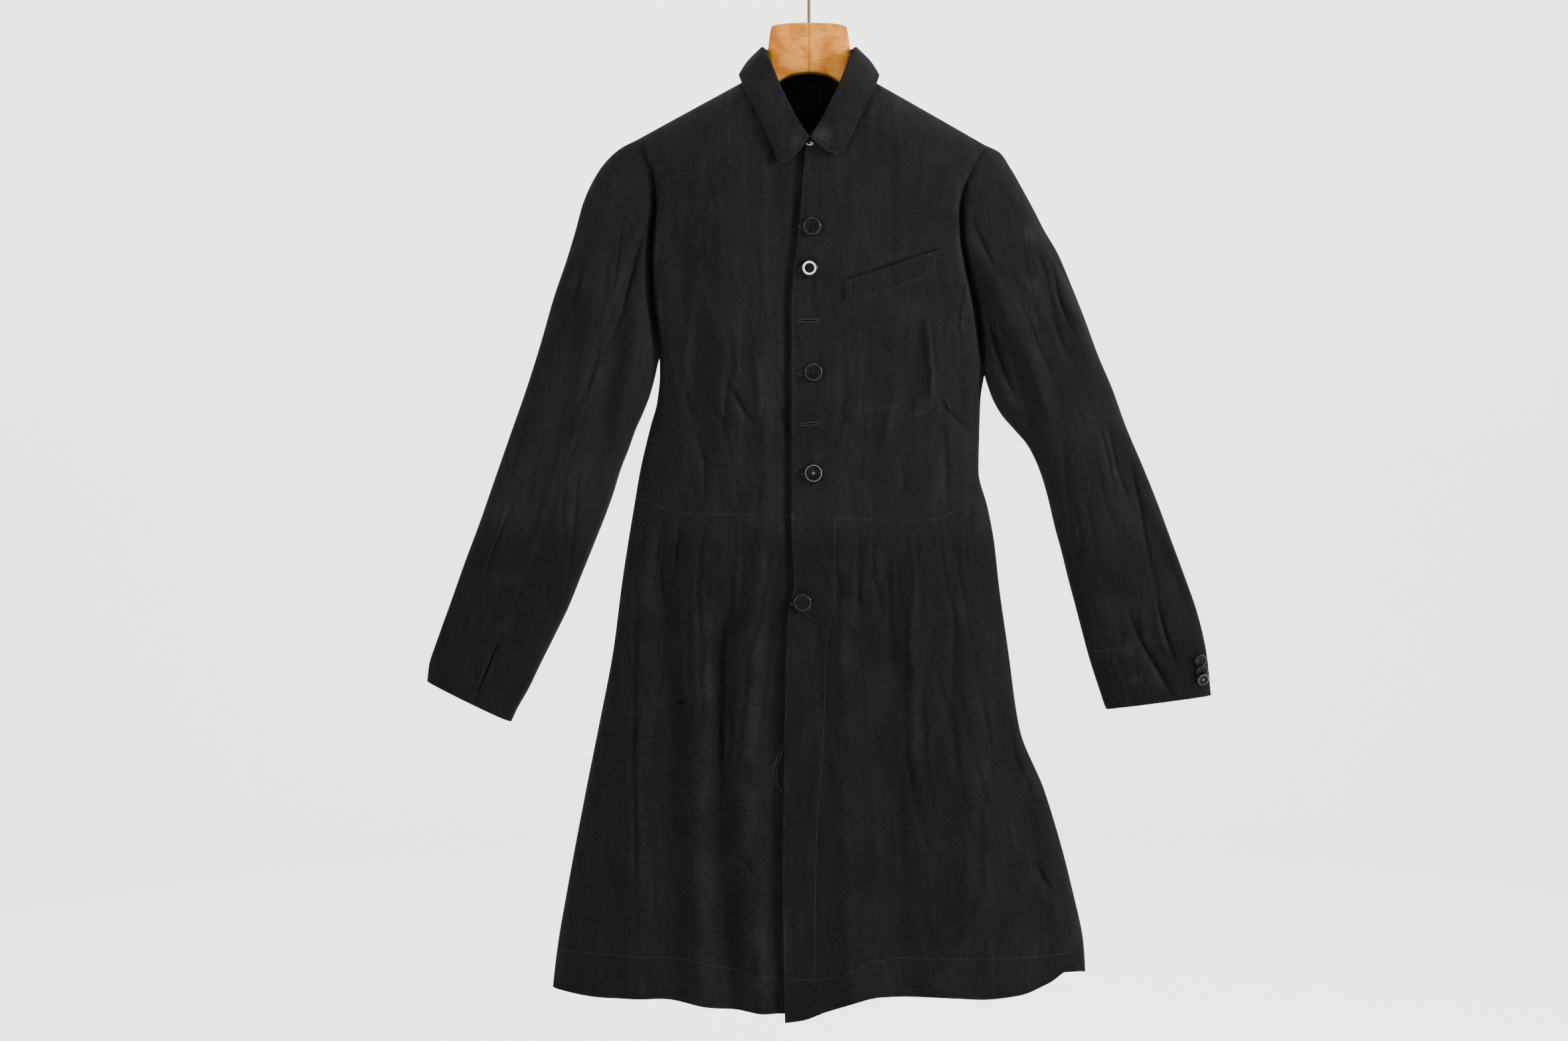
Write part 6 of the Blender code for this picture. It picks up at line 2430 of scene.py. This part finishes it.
@dataclass
class Sewing:
    """Every visible line of stitches, and the buttonholes, by their places in the photograph."""

    facing: Line = (
        (1256, 783), (1256, 921), (1251, 927), (1243, 977), (1240, 1087), (1229, 1254), (1225, 1475),
    )
    hems: tuple[Line, ...] = (
        ((846, 1433), (966, 1436), (1032, 1439), (1088, 1450), (1154, 1464), (1176, 1466)),
        ((1190, 1467), (1226, 1467), (1259, 1464), (1298, 1447), (1354, 1436), (1437, 1437), (1560, 1439),
         (1612, 1436)),
    )
    left_cuff: Line = (
        (1650, 982), (1693, 977), (1723, 968), (1744, 965), (1764, 964), (1805, 959), (1813, 958),
    )
    welt_tabs: tuple[Line, ...] = (
        ((1279.5, 428), (1280.5, 452)), ((1401, 383), (1400, 408)), ((1408.5, 381), (1406.5, 407)),
    )
    hem_rise: float = 43.0
    lift: float = 0.12
    holes: tuple[tuple[float, float, float, float], ...] = (
        (1203.0, 345.5, 1232.0, 345.0), (1202.0, 411.0, 1231.0, 409.0), (1203.0, 485.5, 1232.0, 485.5),
        (1202.5, 565.0, 1232.0, 563.0), (1207.0, 641.0, 1233.5, 638.0), (1207.0, 715.0, 1233.0, 714.0),
        (1190.0, 908.0, 1218.0, 907.0),
    )
    hole_half: float = 1.35
    # The breast pocket's mouth and a tear, which get painted shade as the buttonholes do.
    mouth: tuple[float, float, float, float] = (1272.0, 425.5, 1416.0, 376.5)
    tear: tuple[float, float, float, float] = (1021.0, 1055.0, 1033.0, 1058.5)
    frays: tuple[Line, ...] = (
        ((1180, 1113), (1172, 1130), (1164, 1160), (1170, 1176), (1177, 1188)),
        ((1179, 1118), (1175, 1140), (1160, 1152)), ((1181, 1122), (1168, 1150), (1171, 1170)),
    )
    fray_radius: float = 0.22

    def hole_loop(
        self, surface: Surface, hole: tuple[float, float, float, float], half: float, lift: float
    ) -> Array:
        """A narrow oval round a buttonhole, laid on the cloth.

        Args:
            surface: the cloth.
            hole: its two ends in the photograph's pixels.
            half: half of its width.
            lift: over the cloth.

        Returns:
            Points in millimetres.
        """
        ends = PHOTO.line(((hole[0], hole[1]), (hole[2], hole[3])))
        run = ends[1] - ends[0]
        length = float(np.hypot(*run))
        run = run / length
        side = np.array((-run[1], run[0]))
        loop = []
        for turn in np.linspace(0, 2 * math.pi, 41):
            across, around = math.sin(turn), math.cos(turn)
            squashed = abs(around) ** 0.35
            reach = (length / 2 - half) * math.copysign(squashed, around) + half * around
            loop.append(ends.mean(axis=0) + run * reach + side * half * across)
        found = [surface.hit(Point2(float(x), float(z)), lift)[0] for x, z in loop]
        return np.array([point for point in found if not np.isnan(point[0])])

    def build(self, surface: Surface, stitcher: Stitcher, body: CoatBody) -> None:
        """All the stitches.

        Args:
            surface: the cloth.
            stitcher: what lays them.
            body: the coat's body.
        """
        front = (0.0, -1.0, 0.0)
        runs = [self.facing, *self.hems, self.left_cuff, *self.welt_tabs]
        paths = [surface.path(PHOTO.line(run), 1.6, self.lift) for run in runs]
        made = stitcher.lay("front_stitches", [p for p in paths if len(p) > 2], RUNNING, front)
        ride_and_replace(made, "drill_cloth")
        skirt = body.back_skirt(body.back_bodice())[-1]
        hem = skirt[4:-4] + np.array((0, self.hem_rise))
        back = surface.path(hem[::6], 1.6, self.lift, Face.BACK)
        made = stitcher.lay("back_hem_stitches", [back], RUNNING, (0.0, 1.0, 0.0))
        ride_and_replace(made, "drill_cloth")
        loops = [self.hole_loop(surface, hole, self.hole_half, self.lift) for hole in self.holes]
        made = stitcher.lay("buttonhole_stitches", loops, WHIPPED, front)
        ride_and_replace(made, "drill_cloth")
        # Painted shade in the buttonholes, the pocket mouth and the tear.
        made = self.painted_slit_shade(surface)
        ride_and_replace(made, "drill_cloth")
        loose = [surface.path(PHOTO.line(run), 4.0, 0.9) for run in self.frays]
        made = tubes_object("frayed_thread", loose, self.fray_radius)
        made.data.materials.append(stitcher.thread)
        ride_and_replace(made, "drill_cloth")

    def painted_slit_shade(self, surface: Surface) -> bpy.types.Object:
        """Painted shade: black sheets over the cloth in the buttonholes, the breast pocket's mouth and the
        tear, standing for the shade inside these openings.

        Args:
            surface: the cloth.

        Returns:
            The object.
        """
        points, faces = [], []
        # Painted shade: a thin black sheet over each opening.
        for hole, half in [(hole, 0.75) for hole in self.holes] + [(self.mouth, 0.95), (self.tear, 1.5)]:
            loop = self.hole_loop(surface, hole, half, 0.1)[:-1]
            start = len(points)
            points += [tuple(point) for point in loop]
            points += [tuple(point + np.array((0, 0.08, 0))) for point in loop]
            count = len(loop)
            faces.append(tuple(range(start, start + count)))
            faces.append(tuple(range(start + 2 * count - 1, start + count - 1, -1)))
            for k in range(count):
                n = (k + 1) % count
                faces.append((start + n, start + k, start + count + k, start + count + n))
        made = solid_object("painted_shade_slits", np.array(points), faces)
        shade = Recipe("shadowed_cloth")
        made.data.materials.append(
            shade.finish(Base_Color=linear("050505"), Roughness=1.0, Specular_IOR_Level=0.0)
        )
        return made


@dataclass
class Studio:
    """A pale round bowl for a floor and walls, soft lamps, and the camera of the photograph."""

    camera: tuple[float, float, float] = (-0.0279, -2.434, -0.633)
    lens: float = 50.0
    sensor: float = 36.0
    floor_z: float = -1.62
    radius: float = 5.5
    height: float = 6.0
    sides: int = 96
    paint: str = "F2F1EF"
    sky: str = "FBFBFA"
    world: float = 0.34
    bend: float = 1.2

    def build_camera(self) -> None:
        """The camera, looking straight along Y."""
        data = bpy.data.cameras.new("photograph")
        data.lens, data.sensor_width = self.lens, self.sensor
        made = bpy.data.objects.new("photograph", data)
        made.location = self.camera
        made.rotation_euler = (math.radians(90), 0, 0)
        bpy.context.scene.collection.objects.link(made)
        bpy.context.scene.camera = made

    def build_bowl(self) -> None:
        """The floor, which turns up into a round wall."""
        profile = [(0.0, self.floor_z), (self.radius * 0.4, self.floor_z), (self.radius * 0.7, self.floor_z)]
        for k in range(13):
            angle = math.pi / 2 * k / 12
            across = self.radius - self.bend + self.bend * math.sin(angle)
            profile.append((across, self.floor_z + self.bend - self.bend * math.cos(angle)))
        profile.append((self.radius, self.floor_z + self.height))
        points, faces = turned_mesh(profile, self.sides)
        made = mesh_object("studio_bowl", points, [face[::-1] for face in faces])
        wall = Recipe("matt_wall_paint")
        made.data.materials.append(wall.finish(Base_Color=linear(self.paint), Roughness=0.95))

    def build_lights(self) -> None:
        """A large soft lamp on either side of the camera, one above, and an even sky."""
        lamps = (
            ("left", (-3.0, -2.0, 0.4), (0.0, 0.0, -0.6), 1.2, 80.0),
            ("right", (3.0, -1.3, 0.5), (0.0, 0.0, -0.6), 0.8, 270.0),
            ("top", (0.0, -0.9, 2.9), (0.0, 0.0, -0.5), 1.6, 70.0),
            ("back_left", (-2.8, 2.2, 1.6), (0.0, 0.0, -0.6), 1.8, 70.0),
            ("back_right", (2.8, 2.2, 1.6), (0.0, 0.0, -0.6), 1.8, 70.0),
            ("wall", (0.0, 1.2, 3.6), (0.0, 5.5, 0.4), 3.0, 520.0),
        )
        for name, place, target, size, power in lamps:
            data = bpy.data.lights.new(name, "AREA")
            data.shape, data.size, data.energy = "DISK", size, power
            made = bpy.data.objects.new(name, data)
            made.location = place
            made.rotation_euler = (Vector(target) - Vector(place)).to_track_quat("-Z", "Y").to_euler()
            bpy.context.scene.collection.objects.link(made)
        world = bpy.data.worlds.new("even_sky")
        world.use_nodes = True
        set_inputs(world.node_tree.nodes["Background"], {"Color": linear(self.sky), "Strength": self.world})
        bpy.context.scene.world = world


def ride_and_replace(piece: bpy.types.Object, slot: str, *nodes: str) -> None:
    """Puts a finished piece on the one body, in the place of its CAD nodes.

    Args:
        piece: the piece.
        slot: its material slot.
        nodes: the nodes that it stands for.
    """
    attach(piece, ROOT_BODY)
    if nodes:
        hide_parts(*nodes)
    faces, stands_for = len(piece.data.polygons), ", ".join(nodes) or "-"
    LOG.info("%s: %d faces, slot %s, for %s", piece.name, faces, slot, stands_for)


@dataclass
class Buttons:
    """The five front buttons and the three on the left cuff."""

    finish: HornFinish = field(default_factory=HornFinish)
    front: tuple[tuple[float, float], ...] = (
        (3, -310), (0, -356), (4.5, -470), (4.5, -581), (-7.5, -723.5),
    )
    front_turns: tuple[float, ...] = (10.0, 30.0, 24.0, 45.0, 18.0)
    # Painted highlight rings, one for each front button: inner and outer share of the radius, and paleness;
    # each stands for the lamps' reflection on the polished rim.
    front_rings: tuple[tuple[float, float, float], ...] = (
        (0.84, 0.9, 0.06), (0.55, 0.72, 0.8), (0.84, 0.9, 0.07), (0.84, 0.9, 0.2), (0.84, 0.9, 0.05),
    )
    # Painted highlight rings of the cuff buttons, as above.
    cuff_rings: tuple[tuple[float, float, float], ...] = (
        (0.84, 0.9, 0.06), (0.84, 0.9, 0.05), (0.84, 0.9, 0.2),
    )
    pale_threads: tuple[int, ...] = (3, 7)
    front_form: ButtonForm = ButtonForm(10.2, 3.4)
    cuff: tuple[tuple[float, float], ...] = ((17.05, 0.09), (17.33, 0.09), (17.55, 0.085))
    cuff_form: ButtonForm = ButtonForm(7.0, 2.4, rim=0.5, hole=0.7, hole_spread=1.3)
    cuff_tilt: float = 24.0
    cuff_lift: float = 3.75
    front_clearance: float = 0.55
    cloth: float = 1.4

    def cuff_point(self, sleeve: SleeveForm, station: float, share: float) -> tuple[Array, Array]:
        """A point and its outward direction on the front of a cuff.

        Args:
            sleeve: the sleeve.
            station: place along it.
            share: place across it, from its outer edge.

        Returns:
            The point and the unit direction.
        """
        keys = np.arange(len(sleeve.stations))
        read = {n: float(smooth(keys, column(sleeve.stations, n), station)) for n in Station._fields}
        outer = np.array((read["out_x"], 0.0, read["out_z"]))
        chord = np.array((read["in_x"], 0.0, read["in_z"])) - outer
        turn = np.linspace(0, math.pi / 2, 60)
        shares = (1 - np.cos(turn)) / 2 + sleeve.drift * np.sin(turn) ** 2
        at = int(np.argmax(shares > share))
        section = outer + chord * shares[:, None]
        section[:, 1] = -read["front"] * np.sin(turn) ** sleeve.swell_power
        normal = np.cross(section[at] - section[at - 1], np.cross(chord, (0.0, 1.0, 0.0)))
        normal *= -np.sign(normal[1]) / np.linalg.norm(normal)
        return section[at], normal

    def places(self, body: CoatBody, left_sleeve: SleeveForm) -> list[tuple[ButtonForm, Matrix]]:
        """Every button's form and place: the front ones from the top, then the cuff's.

        Args:
            body: the coat's body.
            left_sleeve: the sleeve whose cuff has buttons.

        Returns:
            Forms and matrices.
        """
        made = []
        lift = self.cloth / 2 + self.front_clearance + self.front_form.thick / 2
        for (x, z), turn in zip(self.front, self.front_turns):
            y = float(body.front_y(body.left, np.array([float(x)]), np.array([float(z)]))[0]) - lift
            place = self.front_form.placing(np.array((x, y, z)), np.array((0, -1, 0)), turn)
            made.append((self.front_form, place))
        tilt = math.radians(self.cuff_tilt)
        for number, (station, share) in enumerate(self.cuff, start=1):
            point, normal = self.cuff_point(left_sleeve, station, share)
            facing = normal * math.cos(tilt) + np.array((0.0, 0.0, -1.0)) * math.sin(tilt)
            place = self.cuff_form.placing(point + normal * self.cuff_lift, facing, 20.0 * number)
            made.append((self.cuff_form, place))
        return made

    def build(self, body: CoatBody, left_sleeve: SleeveForm) -> None:
        """All eight buttons, each in the place of its CAD node, and the thread in their holes.

        Args:
            body: the coat's body.
            left_sleeve: the sleeve whose cuff has buttons.
        """
        material = self.finish.material()
        names = [f"front_button_{k}" for k in range(1, 6)] + [f"cuff_button_{k}" for k in range(1, 4)]
        crosses: dict[bool, list[Array]] = {True: [], False: []}
        for number, (form, place) in enumerate(self.places(body, left_sleeve)):
            ring = (*self.front_rings, *self.cuff_rings)[number]
            made = form.build(f"{names[number]}_horn", place, ring)
            made.data.materials.clear()
            made.data.materials.append(material)
            ride_and_replace(made, "horn_button", names[number])
            crosses[number in self.pale_threads] += form.cross(place)
        dark, light = ThreadFinish("1C1B1B", "0E0E0E"), ThreadFinish("7C7872", "4A4743")
        for pale, name, finish in ((False, "dark", dark), (True, "pale", light)):
            made = tubes_object(f"button_thread_{name}", crosses[pale], self.cuff_form.thread)
            made.data.materials.append(finish.material())
            ride_and_replace(made, "horn_button")


@dataclass
class Coat:
    """The whole coat of drill."""

    body: CoatBody = field(default_factory=CoatBody)
    collar: Collar = field(default_factory=Collar)
    welt: BreastWelt = field(default_factory=BreastWelt)
    tailoring: Tailoring = field(default_factory=Tailoring)
    sleeves: tuple[SleeveForm, ...] = SLEEVES

    def panels(self) -> list[Panel]:
        """Every sewn panel of the body and the sleeves.

        Returns:
            The panels, facing outwards.
        """
        made = self.body.build()
        rows = self.body.armhole_rows + 1
        back = self.body.back_bodice()[:rows]
        back_y = self.body.back_y(back[..., 0], back[..., 1])
        for sleeve, lines in zip(self.sleeves, (self.body.right, self.body.left)):
            column_at = 0 if sleeve.side is Side.RIGHT else -1
            front = self.body.front_bodice(lines)[:rows, -1]
            front_y = self.body.front_y(lines, front[:, 0], front[:, 1])
            front_edge = np.stack([front[:, 0], front_y, front[:, 1]], axis=-1)
            edge = back[:, column_at]
            back_edge = np.stack([edge[:, 0], back_y[:, column_at], edge[:, 1]], axis=-1)
            made += sleeve.build(front_edge, back_edge)
        return made

    def build(self) -> list[bpy.types.Object]:
        """All the cloth, in the place of its CAD nodes.

        Returns:
            Its pieces.
        """
        material = self.tailoring.finish.material()
        panels = self.panels()
        pieces = self.tailoring.sew(panels, material, self.tailoring.thickness, seed=101)
        collar, welt = self.collar.build(), self.welt.build(self.body)
        pieces += self.tailoring.sew([collar], material, self.tailoring.thickness, seed=141)
        pieces += self.tailoring.sew([welt], material, self.tailoring.welt_thickness, seed=151)
        for panel, piece in zip([*panels, collar, welt], pieces):
            node = panel.name.removesuffix("_cloth")
            ride_and_replace(piece, "drill_cloth", node)
            low = panel.weave.reshape(-1, 2).min(axis=0)
            high = panel.weave.reshape(-1, 2).max(axis=0)
            size = tuple(float(v) * 1.02 for v in high - low)
            area = min(panel.area(), size[0] * size[1])
        return pieces


def main() -> None:
    """Builds the coat, its hanger and the studio, and reports each piece."""
    logging.basicConfig(level=logging.INFO, format="%(message)s")
    coat = Coat()
    surface = Surface(coat.build())
    stitcher = Stitcher(StitchTree().build(), ThreadFinish().material())
    Sewing().build(surface, stitcher, coat.body)
    Buttons().build(coat.body, SLEEVES[1])
    ride_and_replace(Hanger().build(), "hanger_wood", "hanger")
    ride_and_replace(HangerHook().build(), "hook_wire", "hanger_hook")
    ride_and_replace(CollarFastening().build(), "collar_hook_metal", "collar_hook")
    studio = Studio()
    studio.build_bowl()
    studio.build_camera()
    studio.build_lights()


if __name__ == "__main__":
    main()
